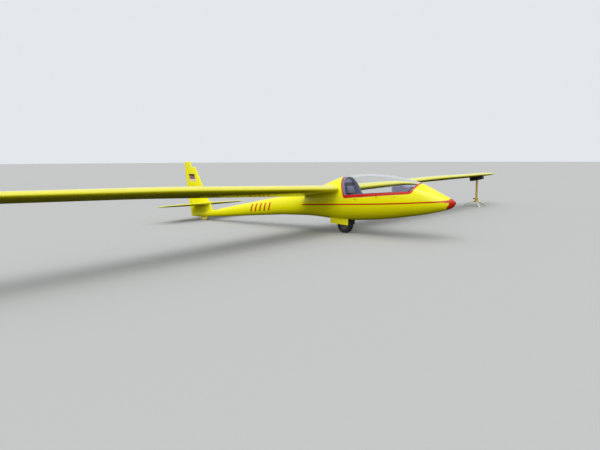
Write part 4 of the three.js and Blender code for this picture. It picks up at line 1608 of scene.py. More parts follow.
@dataclass(frozen=True)
class Padding:
    """Filling of a cushion: how far it may swell, and the creases that are sewn into it."""

    voxel: float = 0.005
    pressure: float = 4.0
    cap: float = 0.006
    frames: int = 20
    crease: float = 0.0025
    crease_width: float = 0.0035

    def fill(self, obj: Object, rest: Vector, seams: Callable[[np.ndarray], np.ndarray]) -> Object:
        """Swells a closed shape as a filled cover.

        Args:
            obj: Closed shape, a little smaller than the cushion.
            rest: Direction in which it rests on something and can't swell.
            seams: Gives each point's distance from the nearest seam.

        Returns:
            The same object, with no simulation left on it.
        """
        modify(obj, "REMESH", mode="VOXEL", voxel_size=self.voxel)
        start = coordinates(obj)
        self.swell(obj)
        push = coordinates(obj) - start
        length = np.linalg.norm(push, axis=1, keepdims=True)
        push *= np.minimum(1.0, self.cap / np.maximum(length, 1e-9))
        way = np.array(rest.normalized())
        into = np.maximum(0.0, push @ way)
        moved_to(obj, start + push - into[:, None] * way)
        modify(obj, "SUBSURF", levels=1, render_levels=1)
        depth = self.crease * np.exp(-((seams(coordinates(obj)) / self.crease_width) ** 2))
        moved_to(obj, coordinates(obj) - coordinates(obj, "normal") * depth[:, None])
        choose(obj)
        bpy.ops.object.shade_smooth()
        return obj

    def swell(self, obj: Object) -> None:
        """Runs the cloth with pressure inside it and applies it.

        Args:
            obj: Closed mesh.
        """
        cloth = obj.modifiers.new("swell", "CLOTH")
        cloth.settings.use_pressure = True
        cloth.settings.uniform_pressure_force = self.pressure
        cloth.settings.effector_weights.gravity = 0.0
        cloth.settings.quality = 5
        cloth.point_cache.frame_end = self.frames
        scene = bpy.context.scene
        for step in range(1, self.frames + 1):
            scene.frame_set(step)
        choose(obj)
        bpy.ops.object.modifier_apply(modifier=cloth.name)
        scene.frame_set(1)


def fillet(name: str, stations: Sequence[tuple[Vector, Vector, Vector, Vector]]) -> Object:
    """Concave strip where one surface runs into another.

    Args:
        name: Name of the object.
        stations: Around the joint: end on the first surface, corner, end on the second, and a point inside both.

    Returns:
        The closed strip.
    """
    steps = [k / 10 for k in range(11)]
    rings = []
    for first, corner, second, inside in stations:
        arc = [first * (1 - t) ** 2 + corner * 2 * t * (1 - t) + second * t**2 for t in steps]
        rings.append([tuple(point) for point in (*arc, inside)])
    rings.append(rings[0])
    return skin(name, rings, closed=False)


# Sub-assemblies


@dataclass
class Cockpit:
    """Sizes of the cockpit opening and canopy, shared by hull and canopy."""

    rear: Pair = (1.25, 0.633)
    front: Pair = (2.498, 0.753)
    apex: Pair = (2.592, 0.915)
    crest: Pair = (1.11, 0.99)
    top: float = 1.15
    corners: Pair = (0.022, 0.032)

    def outline(self, sill: Pair, front: float, rear: float) -> list[Pair]:
        """Side view of the opening with each edge moved in.

        Args:
            sill: Distance that the sill is moved in at its rear and at its front end.
            front: Distance that the front edge is moved in.
            rear: Distance that the rear edge is moved in.

        Returns:
            The outline, with its two lower corners rounded.
        """

        def edge(start: Pair, end: Pair, inward: float, at_end: float) -> tuple[Vector, Vector]:
            """A point and the direction of an edge that is moved in.

            Args:
                start: First end.
                end: Second end.
                inward: Distance moved in at the first.
                at_end: Distance at the second.

            Returns:
                The point and the direction.
            """
            normal = Vector((start[1] - end[1], end[0] - start[0])).normalized()
            first = Vector(start) + normal * inward
            return first, (Vector(end) + normal * at_end - first).normalized()

        lines = [
            edge(self.crest, self.rear, rear, rear),
            edge(self.rear, self.front, *sill),
            edge(self.front, self.apex, front, front),
            (Vector((0, self.top)), Vector((1, 0))),
        ]
        corners = []
        for k, (point, along) in enumerate(lines):
            other, way = lines[(k + 1) % 4]
            gap = other - point
            t = (gap.x * way.y - gap.y * way.x) / (along.x * way.y - along.y * way.x)
            corners.append(point + along * t)
        outline = [corners[3]]
        for k in (0, 1):
            before = (corners[k - 1] - corners[k]).normalized() * self.corners[k]
            after = (corners[k + 1] - corners[k]).normalized() * self.corners[k]
            for step in range(9):
                t = step / 8
                outline.append(corners[k] + before * (1 - t) ** 2 + after * t**2)
        outline.append(corners[2])
        return [(p.x, p.y) for p in outline]

    def opening(self, sill: Pair, front: float, rear: float) -> Object:
        """Cutter of the opening, right across the hull."""
        return prism("opening", self.outline(sill, front, rear), -0.4, 0.4)


@dataclass
class Hull:
    """Fuselage skins: nose, front, centre with the wing roots, and boom."""

    cockpit: Cockpit
    wall: float = 0.01
    nose_x: float = 3.04
    hold_x: float = 1.31
    boom_x: float = -0.279
    hold: tuple[Pair, ...] = (
        (1.3, 0.15),
        (1.3, 0.405),
        (1.168, 0.66),
        (1.1, 1.15),
        (2.96, 1.15),
        (2.96, 0.15),
    )
    well: tuple[Point, Point] = ((0.858, -0.115, 0.0), (1.278, 0.115, 0.372))

    def build(self) -> None:
        """Builds and dresses the four skins."""
        body = HULL.solid("body")
        inner = HULL.solid("inner", self.wall)
        combine(inner, prism("hold", self.hold, -2, 2), Join.KEEP)
        self.nose(copied(body, "nose_skin"))
        self.front(copied(body, "front_skin"), inner)
        self.centre(copied(body, "centre_skin"), inner)
        self.boom(copied(body, "boom_skin"))
        bpy.data.objects.remove(inner)
        bpy.data.objects.remove(body)

    def nose(self, obj: Object) -> None:
        """Red nose cone with the small opening at its tip.

        Args:
            obj: Copy of the whole hull.
        """
        sliced(obj, self.nose_x, True)
        mouth = [(-0.03, 0.0062), (0.012, 0.0062), (0.0165, 0.0075), (0.021, 0.012), (0.03, 0.012)]
        combine(obj, lathe("intake", mouth, AHEAD, Vector((3.14, 0, 0.626)), 24), Join.CUT)
        dress(leaned(even_shading(obj)), NOSE_PAINT, "root", "nose_cone")
        near = 0.009
        lined(obj, BLACK, lambda c, _n: c.x < 3.15 and max(abs(c.y + 0.004), abs(c.z - 0.626)) < near)

    def front(self, obj: Object, inner: Object) -> None:
        """Hollow front skin with the cockpit opening.

        Args:
            obj: Copy of the whole hull.
            inner: Solid of the hollow.
        """
        sliced(obj, self.nose_x - SEAT, False)
        sliced(obj, self.hold_x, True)
        combine(obj, inner, Join.CUT, keep=True)
        combine(obj, self.cockpit.opening((0, 0), 0, 0), Join.CUT)
        dress(leaned(even_shading(obj)), HULL_PAINT, "root", "front_moulding")
        lined(obj, SHELL_PAINT, under_skin)

    def centre(self, obj: Object, inner: Object) -> None:
        """Centre skin with the wing roots, their fillets and the wheel well.

        Args:
            obj: Copy of the whole hull.
            inner: Solid of the hollow.
        """
        sliced(obj, self.hold_x - SEAT, False)
        sliced(obj, self.boom_x, True)
        combine(obj, inner, Join.CUT, keep=True)
        combine(obj, self.cockpit.opening((0, 0), 0, 0), Join.CUT)
        for side in Side:
            ring, widths = WING.ring(side, WING.root_y), (0.12, WING.root_y - SEAT)
            rows = [[(x, side.value * y, z) for x, _, z in ring] for y in widths]
            combine(obj, skin("root", rows), Join.ADD)
        combine(obj, block("well", *self.well), Join.CUT)
        even_shading(obj)
        strips = [self.root_fillet(side) for side in Side]
        obj = merged([obj, *strips], "centre_skin")
        dress(leaned(obj), HULL_PAINT, "root", "centre_moulding")
        (x0, y0, _), (x1, y1, z1) = self.well
        margin = 0.002

        def in_well(centre: Vector, _normal: Vector) -> bool:
            """Tells whether a face is a wall of the wheel well or of the cockpit.

            Args:
                centre: Centre of the face.
                _normal: Its normal; it is not used.

            Returns:
                Whether it is one.
            """
            level = LEAN.inverted() @ centre
            inward = (level.x - x0, x1 - level.x, level.y - y0, y1 - level.y, z1 - level.z)
            return min(inward) > -margin and min(abs(gap) for gap in inward) < margin

        lined(obj, BAY_PAINT, in_well)
        lined(obj, TRIM, lambda c, n: c.x > 1.08 and under_skin(c, n) and not in_well(c, n))

    def root_fillet(self, side: Side) -> Object:
        """Fillet all round the wing root.

        Args:
            side: Which wing.

        Returns:
            The closed strip.
        """
        outline = aerofoil(WING.thickness, WING.camber, 30)
        points = [Vector(WING.point(side, WING.root_y, s, h)) for s, h in outline]
        count = len(points)
        stations = []
        for k, point in enumerate(points):
            after, before = points[(k + 1) % count], points[k - 1]
            along = after - before
            out = Vector((along.z, 0, -along.x)).normalized()
            middle = Vector(WING.point(side, WING.root_y, 0.4, 0.04))
            if out.dot(point - middle) < 0 and 0 < k < count - 1:
                out = -out
            share = outline[k][0]
            radius = 0.032 + 0.02 * share
            width, base = HULL.half_width(point.x, point.z), point + out * radius
            corners = (
                (base.x, HULL.half_width(base.x, base.z), base.z),
                (point.x, width, point.z),
                (point.x, width + radius, point.z),
                (point.x - out.x * 0.003, width - 0.008, point.z - out.z * 0.003),
            )
            stations.append(tuple(Vector((x, side.value * y, z)) for x, y, z in corners))
        return fillet("root_fillet", stations)

    def boom(self, obj: Object) -> None:
        """Tail boom, hollowed at its end for the rudder.

        Args:
            obj: Copy of the whole hull.
        """
        sliced(obj, self.boom_x - SEAT, False)
        combine(obj, Tail.rudder_cove(), Join.CUT)
        dress(leaned(even_shading(obj)), HULL_PAINT, "root", "tail_boom")


@dataclass
class Canopy:
    """Canopy frame, glass and side hinges."""

    cockpit: Cockpit
    gap: float = 0.005
    sill: Pair = (0.052, 0.034)
    edge: float = 0.024
    flange: float = 0.032
    depth: float = 0.02
    pane: float = 0.005
    flange_x: float = 1.36

    def build(self) -> None:
        """Builds the frame and the pane from the hull's own surface."""
        body = HULL.solid("body")
        sliced(body, 2.7, False)
        sliced(body, 1.05, True)
        self.frame(copied(body, "canopy_rim"))
        self.glass(copied(body, "canopy_pane"))
        bpy.data.objects.remove(body)
        for k in (1, 2):
            cad_node(f"canopy_hinge_base_{k}", WING_PAINT)
            cad_node(f"canopy_hinge_leaf_{k}", RED_PAINT)

    def inner(self, gap: float, flange: float = 0.0) -> Object:
        """Cutter of the frame's inner outline."""
        rear, front = (width + gap for width in self.sill)
        return self.cockpit.opening((rear, front), gap + self.edge, gap + self.edge + flange)

    def frame(self, obj: Object) -> None:
        """Red frame all round the pane, with a wider flange under the rear of the pane.

        Args:
            obj: Length of the hull round the cockpit.
        """
        gap = self.gap
        combine(obj, self.cockpit.opening((gap, gap), gap, gap), Join.KEEP)
        flange = HULL.solid("flange", self.pane + SEAT)
        combine(flange, self.cockpit.opening((gap, gap), gap, gap), Join.KEEP)
        combine(flange, self.inner(gap, self.flange), Join.CUT)
        combine(obj, self.inner(gap), Join.CUT)
        combine(obj, flange, Join.ADD)
        combine(obj, HULL.solid("inner", self.depth), Join.CUT)
        dress(leaned(even_shading(obj)), RED_PAINT, "canopy", "canopy_frame")
        lined(obj, BLACK, under_skin)
        lined(obj, TRIM, lambda c, n: c.x < self.flange_x and under_skin(c, n))

    def glass(self, obj: Object) -> None:
        """Clear pane inside the frame.

        Args:
            obj: Length of the hull round the cockpit.
        """
        combine(obj, self.inner(self.gap + SEAT), Join.KEEP)
        combine(obj, HULL.solid("inner", self.pane), Join.CUT)
        dress(leaned(even_shading(obj)), CANOPY, "canopy", "canopy_glass")


@dataclass
class Wings:
    """Both wings with their ailerons and air brake caps."""

    aileron_in: float = 3.905
    aileron_out: float = 7.2
    end_gap: float = 0.006
    share: float = 0.8
    brake_in: float = 1.9
    brake_out: float = 2.95
    brake_share: float = 0.55
    brake_width: float = 0.052
    brake_depth: float = 0.009
    brake_gap: float = 0.001
    eye_places: tuple[float, ...] = (0.06, 0.5, 0.94)

    def build(self) -> None:
        """Builds each wing and what it carries."""
        for side in Side:
            self.wing(side)
            self.aileron(side)
            self.brake_cap(side)

    def wing(self, side: Side) -> None:
        """Wing without its aileron.

        Args:
            side: Which side.
        """
        inner = [WING.root_y, 1.0, 1.7, 2.4, 3.1, *np.linspace(3.45, 4.35, 9), 5.0, 5.7, 6.4, 7.0]
        tip = [7.25, 7.29, 7.33, 7.37, 7.4, 7.43, 7.455, 7.475, 7.488, 7.496, 7.4995]
        obj = skin(f"wing_skin_{side.word}", np.array([WING.ring(side, y) for y in [*inner, *tip]]))
        rings = []
        for y in (self.aileron_in, self.aileron_out):
            hinge, radius = WING.hinge(side, y, self.share)
            rings.append(cove_ring(hinge, radius + GAP, WING.incidence))
        combine(obj, skin("cove", rings), Join.CUT)
        combine(obj, self.brake_block("slot", side, 0.0, self.brake_depth, 0.04), Join.CUT)
        EYE.join(obj, self.eyes(side), WING.hinge(side, self.aileron_in, self.share)[1])
        dress(leaned(even_shading(obj)), WING_PAINT, "root", f"wing_{side.word}")

    def aileron(self, side: Side) -> None:
        """Aileron with its round nose.

        Args:
            side: Which side.
        """
        rings = []
        for y in np.linspace(self.aileron_in + self.end_gap, self.aileron_out - self.end_gap, 12):
            hinge, radius = WING.hinge(side, y, self.share)
            outline = aerofoil(WING.thickness * WING.slim(y), WING.camber, 40)
            tail = [(s, h) for s, h in outline if s > self.share + 0.015]
            half = len(tail) // 2
            ordered = [*tail[half:], *tail[:half]]
            rings.append([*nose_arc(hinge, radius, WING.incidence), *(WING.point(side, y, s, h) for s, h in ordered)])
        obj = skin(f"aileron_skin_{side.word}", rings)
        EYE.slot_in(obj, self.eyes(side))
        dress(leaned(even_shading(obj)), WING_PAINT, f"aileron_{side.word}", f"aileron_{side.word}")

    def eyes(self, side: Side) -> list[Matrix]:
        """Frames of the aileron's hinge eyes."""
        start, end = (WING.hinge(side, y, self.share)[0] for y in (self.aileron_in, self.aileron_out))
        return EYE.frames(start, end, self.eye_places, WING.incidence)

    def brake_block(self, name: str, side: Side, inset: float, depth: float, rise: float) -> Object:
        """Long block that follows the top skin.

        Args:
            name: Name of the object.
            side: Which wing.
            inset: Distance that its sides are moved in.
            depth: Depth below the skin.
            rise: Height over the skin.

        Returns:
            The closed block.
        """
        rings = []
        for y in np.linspace(self.brake_in + inset, self.brake_out - inset, 9):
            chord = WING.chord(y)
            half = (self.brake_width / 2 - inset) / chord
            steps = [self.brake_share + half * k / 4 for k in range(-4, 5)]
            thick = WING.thickness * WING.slim(y)
            skin_at = [camber_line(s, WING.camber) + half_thickness(s, thick) for s in steps]
            upper = [WING.point(side, y, s, h + rise / chord) for s, h in zip(steps, skin_at)]
            lower = [WING.point(side, y, s, h - depth / chord) for s, h in zip(steps, skin_at)]
            rings.append([*upper, *reversed(lower)])
        return skin(name, rings)

    def brake_cap(self, side: Side) -> None:
        """Cap of the air brake, flush with the skin."""
        obj = self.brake_block(f"brake_cap_{side.word}", side, self.brake_gap, self.brake_depth - 0.001, 0.0)
        dress(leaned(obj), WING_PAINT, "root", f"air_brake_cap_{side.word}")


@dataclass
class Tail:
    """Fin, rudder, tailplane and elevator."""

    fin_base: float = 0.12
    fin_top: float = 1.139
    blade_base: float = 0.061
    horn_base: float = 1.147
    tip_z: float = 1.25
    saddle_out: float = 0.086
    elevator_in: float = 0.092
    elevator_out: float = 1.095
    elevator_eyes: tuple[float, ...] = (0.12, 0.6)
    rudder_eyes: tuple[float, ...] = (0.18, 0.53, 0.91)

    def build(self) -> None:
        """Builds the tail's surfaces."""
        self.fin()
        self.rudder()
        for side in Side:
            self.tailplane(side)
            self.elevator(side)
        cad_node("elevator_tube", STEEL)

    @staticmethod
    def rudder_cove() -> Object:
        """Cut that clears the rudder's nose.

        Returns:
            The closed cutter.
        """
        rings = []
        for z in (-0.05, 0.061, 0.25, 0.4, 0.6, 0.8, 1.0, 1.167, 1.4):
            hinge, radius, _ = FIN.hinge(z)
            ring = cove_ring(Vector((hinge.x, 0, 0)), radius + GAP, 0.0)
            rings.append([(x, y, z) for x, _, y in ring])
        return skin("rudder_cove", rings)

    def saddle(self, side: Side) -> Object:
        """Moulded block that carries one half of the tailplane.

        Args:
            side: Which side.

        Returns:
            The closed block.
        """
        rows = []
        for y in (0.002, 0.06, self.saddle_out - 0.004, self.saddle_out - SEAT):
            slim = 1.0 if y < 0.08 else 0.985
            ring = []
            for s, h in aerofoil(0.15, 0.0, 26):
                x, _, z = TAIL.point(side, TAIL.root_y, s * 0.86 - 0.02, h * slim)
                ring.append((x, side.value * y, z))
            rows.append(ring)
        return skin("saddle", rows)

    def fin(self) -> None:
        """Fin with the saddles of the tailplane, cut for the rudder."""
        levels = [self.fin_base, 0.3, 0.5, 0.8, 1.1, self.fin_top - 0.008]
        rows = [FIN.ring(z) for z in levels]
        rows += [FIN.ring(self.fin_top - 0.004, 0.9), FIN.ring(self.fin_top - 0.001, 0.7)]
        obj = skin("fin_skin", rows)
        for side in Side:
            combine(obj, self.saddle(side), Join.ADD)
        combine(obj, self.rudder_cove(), Join.CUT)
        hinge, radius, _ = TAIL.hinge(Side.LEFT, TAIL.root_y)
        run = [(-0.2, radius + 0.005), (0.2, radius + 0.005)]
        combine(obj, lathe("tube_run", run, ACROSS, Vector((hinge.x, 0, hinge.z)), 32), Join.CUT)
        EYE.join(obj, self.upright_eyes(), FIN.hinge(self.horn_base)[1])
        dress(leaned(even_shading(obj)), FIN_PAINT, "root", "fin")

    def rudder(self) -> None:
        """Rudder blade with its horn over the fin."""
        rows = []
        for z in (self.blade_base, 0.2, 0.4, 0.6, 0.8, 1.0, 1.12, self.horn_base + 0.02):
            nose, _, tail = FIN.edges(z)
            hinge, radius, share = FIN.hinge(z)
            front = [(x, y, z) for x, _, y in nose_arc(Vector((hinge.x, 0, 0)), radius, 0.0)]
            steps = [share + (1 - share) * k / 6 for k in range(1, 7)]
            lower = [(nose - s * (nose - tail), -FIN.half(z, s), z) for s in steps]
            upper = [(nose - s * (nose - tail), FIN.half(z, s), z) for s in reversed(steps)]
            rows.append([*front, *lower, *upper])
        blade = skin("rudder_skin", rows)
        EYE.slot_in(blade, self.upright_eyes())
        horn_rows = [(self.horn_base, 0.0, 0.9), (self.horn_base + 0.002, 0.0, 1.0), (self.tip_z - 0.01, 0.5, 1.0)]
        horn_rows += [(self.tip_z - 0.004, 0.8, 0.85), (self.tip_z, 1.0, 0.4)]
        combine(blade, skin("horn", np.array([self.horn_ring(*row) for row in horn_rows])), Join.ADD)
        dress(leaned(even_shading(blade)), FIN_PAINT, "rudder", "rudder")

    def upright_eyes(self) -> list[Matrix]:
        """Frames of the rudder's hinge eyes."""
        start, end = (FIN.hinge(z)[0] for z in (self.blade_base, self.horn_base))
        return EYE.frames(start, end, self.rudder_eyes, 0.0)

    def level_eyes(self, side: Side) -> list[Matrix]:
        """Frames of the hinge eyes of one half of the elevator."""
        start, end = (TAIL.hinge(side, y)[0] for y in (self.elevator_in, self.elevator_out + 0.005))
        return EYE.frames(start, end, self.elevator_eyes, TAIL.incidence)

    def horn_ring(self, z: float, drop: float, slim: float) -> list[Point]:
        """Section of the horn.

        Args:
            z: Height of its middle.
            drop: How far the section tilts down to the rear, from nought to one.
            slim: Share of the full thickness.

        Returns:
            The closed section.
        """
        share = (z - self.horn_base) / (self.tip_z - self.horn_base)
        front = -2.917 - 0.067 * share
        chord = front - FIN.edges(z)[2]
        lift = 0.016 - 0.016 * (1 - drop)
        return [(front - s * chord, h * chord * slim, z + lift - 0.032 * s * drop) for s, h in aerofoil(0.11, 0.0, 26)]

    def tailplane(self, side: Side) -> None:
        """Fixed half of the tailplane.

        Args:
            side: Which side.
        """
        rows = [(TAIL.root_y, 1.0, 0.0), (0.5, 1.0, 0.0), (0.9, 1.0, 0.0), (1.08, 1.0, 0.0), (1.1, 0.96, 0.005)]
        rows += [(1.117, 0.86, 0.02), (1.125, 0.65, 0.04), (1.1297, 0.2, 0.08)]
        rings = []
        for y, slim, draw in rows:
            outline = aerofoil(TAIL.thickness * slim, 0.0, 26)
            rings.append([TAIL.point(side, y, draw + s * (1 - 2 * draw), h) for s, h in outline])
        obj = skin(f"tailplane_skin_{side.word}", rings)
        coves = []
        for y in (TAIL.root_y - 0.02, self.elevator_out + 0.005):
            hinge, radius, _ = TAIL.hinge(side, y)
            coves.append(cove_ring(hinge, radius + GAP, TAIL.incidence))
        combine(obj, skin("cove", coves), Join.CUT)
        EYE.join(obj, self.level_eyes(side), TAIL.hinge(side, TAIL.root_y)[1])
        dress(leaned(even_shading(obj)), WING_PAINT, "root", f"tailplane_{side.word}")

    def elevator(self, side: Side) -> None:
        """Half of the elevator.

        Args:
            side: Which side.
        """
        rings = []
        for y in np.linspace(self.elevator_in, self.elevator_out, 8):
            hinge, radius, share = TAIL.hinge(side, y)
            steps = [share + (1 - share) * k / 8 for k in range(1, 9)]
            lower = [TAIL.point(side, y, s, -half_thickness(s, TAIL.thickness)) for s in steps]
            upper = [TAIL.point(side, y, s, half_thickness(s, TAIL.thickness)) for s in reversed(steps)]
            rings.append([*nose_arc(hinge, radius, TAIL.incidence), *lower, *upper])
        obj = skin(f"elevator_skin_{side.word}", rings)
        EYE.slot_in(obj, self.level_eyes(side))
        dress(leaned(even_shading(obj)), WING_PAINT, "elevator", f"elevator_{side.word}")


@dataclass
class Gear:
    """Main wheel with its fork, doors and axle, and the tail skid."""

    centre: Vector = field(default_factory=lambda: Vector((1.11, 0, 0.15)))
    well_top: float = 0.3717
    cheek: Pair = (0.058, 0.066)
    axle_radius: float = 0.012
    door_inner: float = 0.1095
    door_outer: float = 0.1145

    def build(self) -> None:
        """Builds the wheel, what holds and covers it, and the skid."""
        self.tyre()
        self.hub()
        self.axle()
        self.fork()
        for side in Side:
            self.door(side)
        self.skid()

    def tyre(self) -> None:
        """Round-shouldered tyre with three grooves."""
        half = [(0.034, 0.076), (0.04, 0.082), (0.046, 0.094), (0.0495, 0.11), (0.05, 0.124), (0.0475, 0.134)]
        half += [(0.042, 0.1415), (0.034, 0.1465), (0.028, 0.1482), (0.0275, 0.1445), (0.0245, 0.1445), (0.024, 0.149)]
        half += [(0.014, 0.1498), (0.0135, 0.146), (0.0105, 0.146), (0.01, 0.15), (0.0, 0.15)]
        section = [*half, *((-a, r) for a, r in reversed(half[:-1]))]
        obj = hoop("tyre_ring", section, ACROSS, self.centre, 96)
        dress(leaned(obj), TYRE, "main_wheel", "tyre")

    def hub(self) -> None:
        """Cast hub with six holes and its clamping bolts."""
        half = [(0.036, 0.013), (0.036, 0.026), (0.034, 0.028), (0.014, 0.03), (0.01, 0.034), (0.01, 0.054)]
        half += [(0.014, 0.059), (0.031, 0.062), (0.033, 0.064), (0.033, 0.0756)]
        section = [*half, *((-a, r) for a, r in reversed(half))]
        obj = hoop("hub_casting", section, ACROSS, self.centre, 72)
        bolts = []
        for k in range(6):
            angles = (math.pi * k / 3, math.pi * k / 3 + 0.52)
            spoke, turned = (Vector((math.cos(a), 0, math.sin(a))) for a in angles)
            place = self.centre + spoke * 0.044
            combine(obj, hole(place.x, place.z, 0.0075, 0.06, 24), Join.CUT)
            head = [(-0.0145, 0.0045), (-0.0145, 0.0052), (0.0145, 0.0052), (0.0145, 0.0045)]
            bolts.append(lathe("bolt", head, ACROSS, self.centre + turned * 0.047, 6))
        even_shading(obj)
        obj = merged([obj, *bolts], "hub_casting")
        dress(leaned(obj), ALLOY, "main_wheel", "wheel_hub")

    def axle(self) -> None:
        """Axle with turned-down threaded ends."""
        ridges = [(0.0605 + 0.0012 * k, 0.0118 if k % 2 else 0.0112) for k in range(7)]
        half = [(0.0, 0.012), (0.06, 0.012), *ridges, (0.069, 0.0112), (0.07, 0.01)]
        section = [*((-a, r) for a, r in reversed(half[1:])), *half]
        obj = lathe("axle_bar", section, ACROSS, self.centre, 40)
        dress(leaned(obj), STEEL, "root", "axle")

    def fork(self) -> None:
        """Two pressed cheeks with a bridge, clamped on the axle."""
        x, foot, head = self.centre.x, 0.026, 0.06
        inner, outer = self.cheek
        arc = [(x + foot * math.sin(a), self.centre.z - foot * math.cos(a)) for a in np.linspace(-1.2, 1.2, 13)]
        outline = [*arc, (x + head, self.well_top - 0.03), (x + head, self.well_top)]
        outline += [(x - head, self.well_top), (x - head, self.well_top - 0.03)]
        widths = [sorted((side.value * inner, side.value * outer)) for side in Side]
        obj, other = (prism("cheek", outline, *width) for width in widths)
        low, high = (x - 0.058, -outer, self.well_top - 0.0217), (x + 0.058, outer, self.well_top)
        for part in (other, block("bridge", low, high)):
            combine(obj, part, Join.ADD)
        for height in (0.245, 0.295):
            combine(obj, hole(x, height, 0.013, 0.1, 28), Join.CUT)
        combine(obj, hole(x, self.centre.z, self.axle_radius + SEAT, 0.2, 40), Join.CUT)
        dress(leaned(bevelled(obj, 0.0012, 2)), BLACK, "root", "gear_fork")

    def door(self, side: Side) -> None:
        """Door of the wheel well with rounded lower corners and bevelled edges.

        Args:
            side: Which side.
        """
        outline = [(0.862, 0.2915), (0.862, 0.186), (0.865, 0.179), (0.872, 0.1745), (0.88, 0.1722)]
        outline += [(1.226, 0.1478), (1.234, 0.1483), (1.2385, 0.153), (1.2395, 0.16), (1.24, 0.2915)]
        y0, y1 = sorted((side.value * self.door_inner, side.value * self.door_outer))
        obj = prism(f"door_{side.word}", outline, y0, y1)
        bevelled(obj, 0.0016, 3)
        dress(leaned(obj), WING_PAINT, "root", f"gear_door_{side.word}")
        lined(obj, BAY_PAINT, lambda _c, n: n.y * side.value < -0.5)

    def skid(self) -> None:
        """Tail skid: a rounded block under the boom, on a steel shoe with countersunk screw holes."""
        outline = [(-2.66, 0.11), (-2.646, 0.04), (-2.632, 0.018), (-2.612, 0.006), (-2.6, 0.0033)]
        outline += [(-2.48, 0.0033), (-2.462, 0.009), (-2.444, 0.022), (-2.436, 0.036), (-2.435, 0.11)]
        obj = prism("skid_foot", outline, -0.024, 0.024)
        combine(obj, HULL.solid("hull", -0.0005), Join.CUT)
        dress(leaned(bevelled(obj, 0.003, 3)), SKID_PAINT, "root", "skid_block")
        shoe = block("skid_plate", (-2.598, -0.022, 0.00002), (-2.482, 0.022, 0.003))
        for x in (-2.585, -2.495):
            sink = [(-0.001, 0.0045), (0.0006, 0.0045), (0.0025, 0.0026), (0.004, 0.0026)]
            combine(shoe, lathe("sink", sink, UP, Vector((x, 0, 0)), 20), Join.CUT)
        dress(leaned(bevelled(shoe, 0.0008, 2)), STEEL, "root", "skid_shoe")


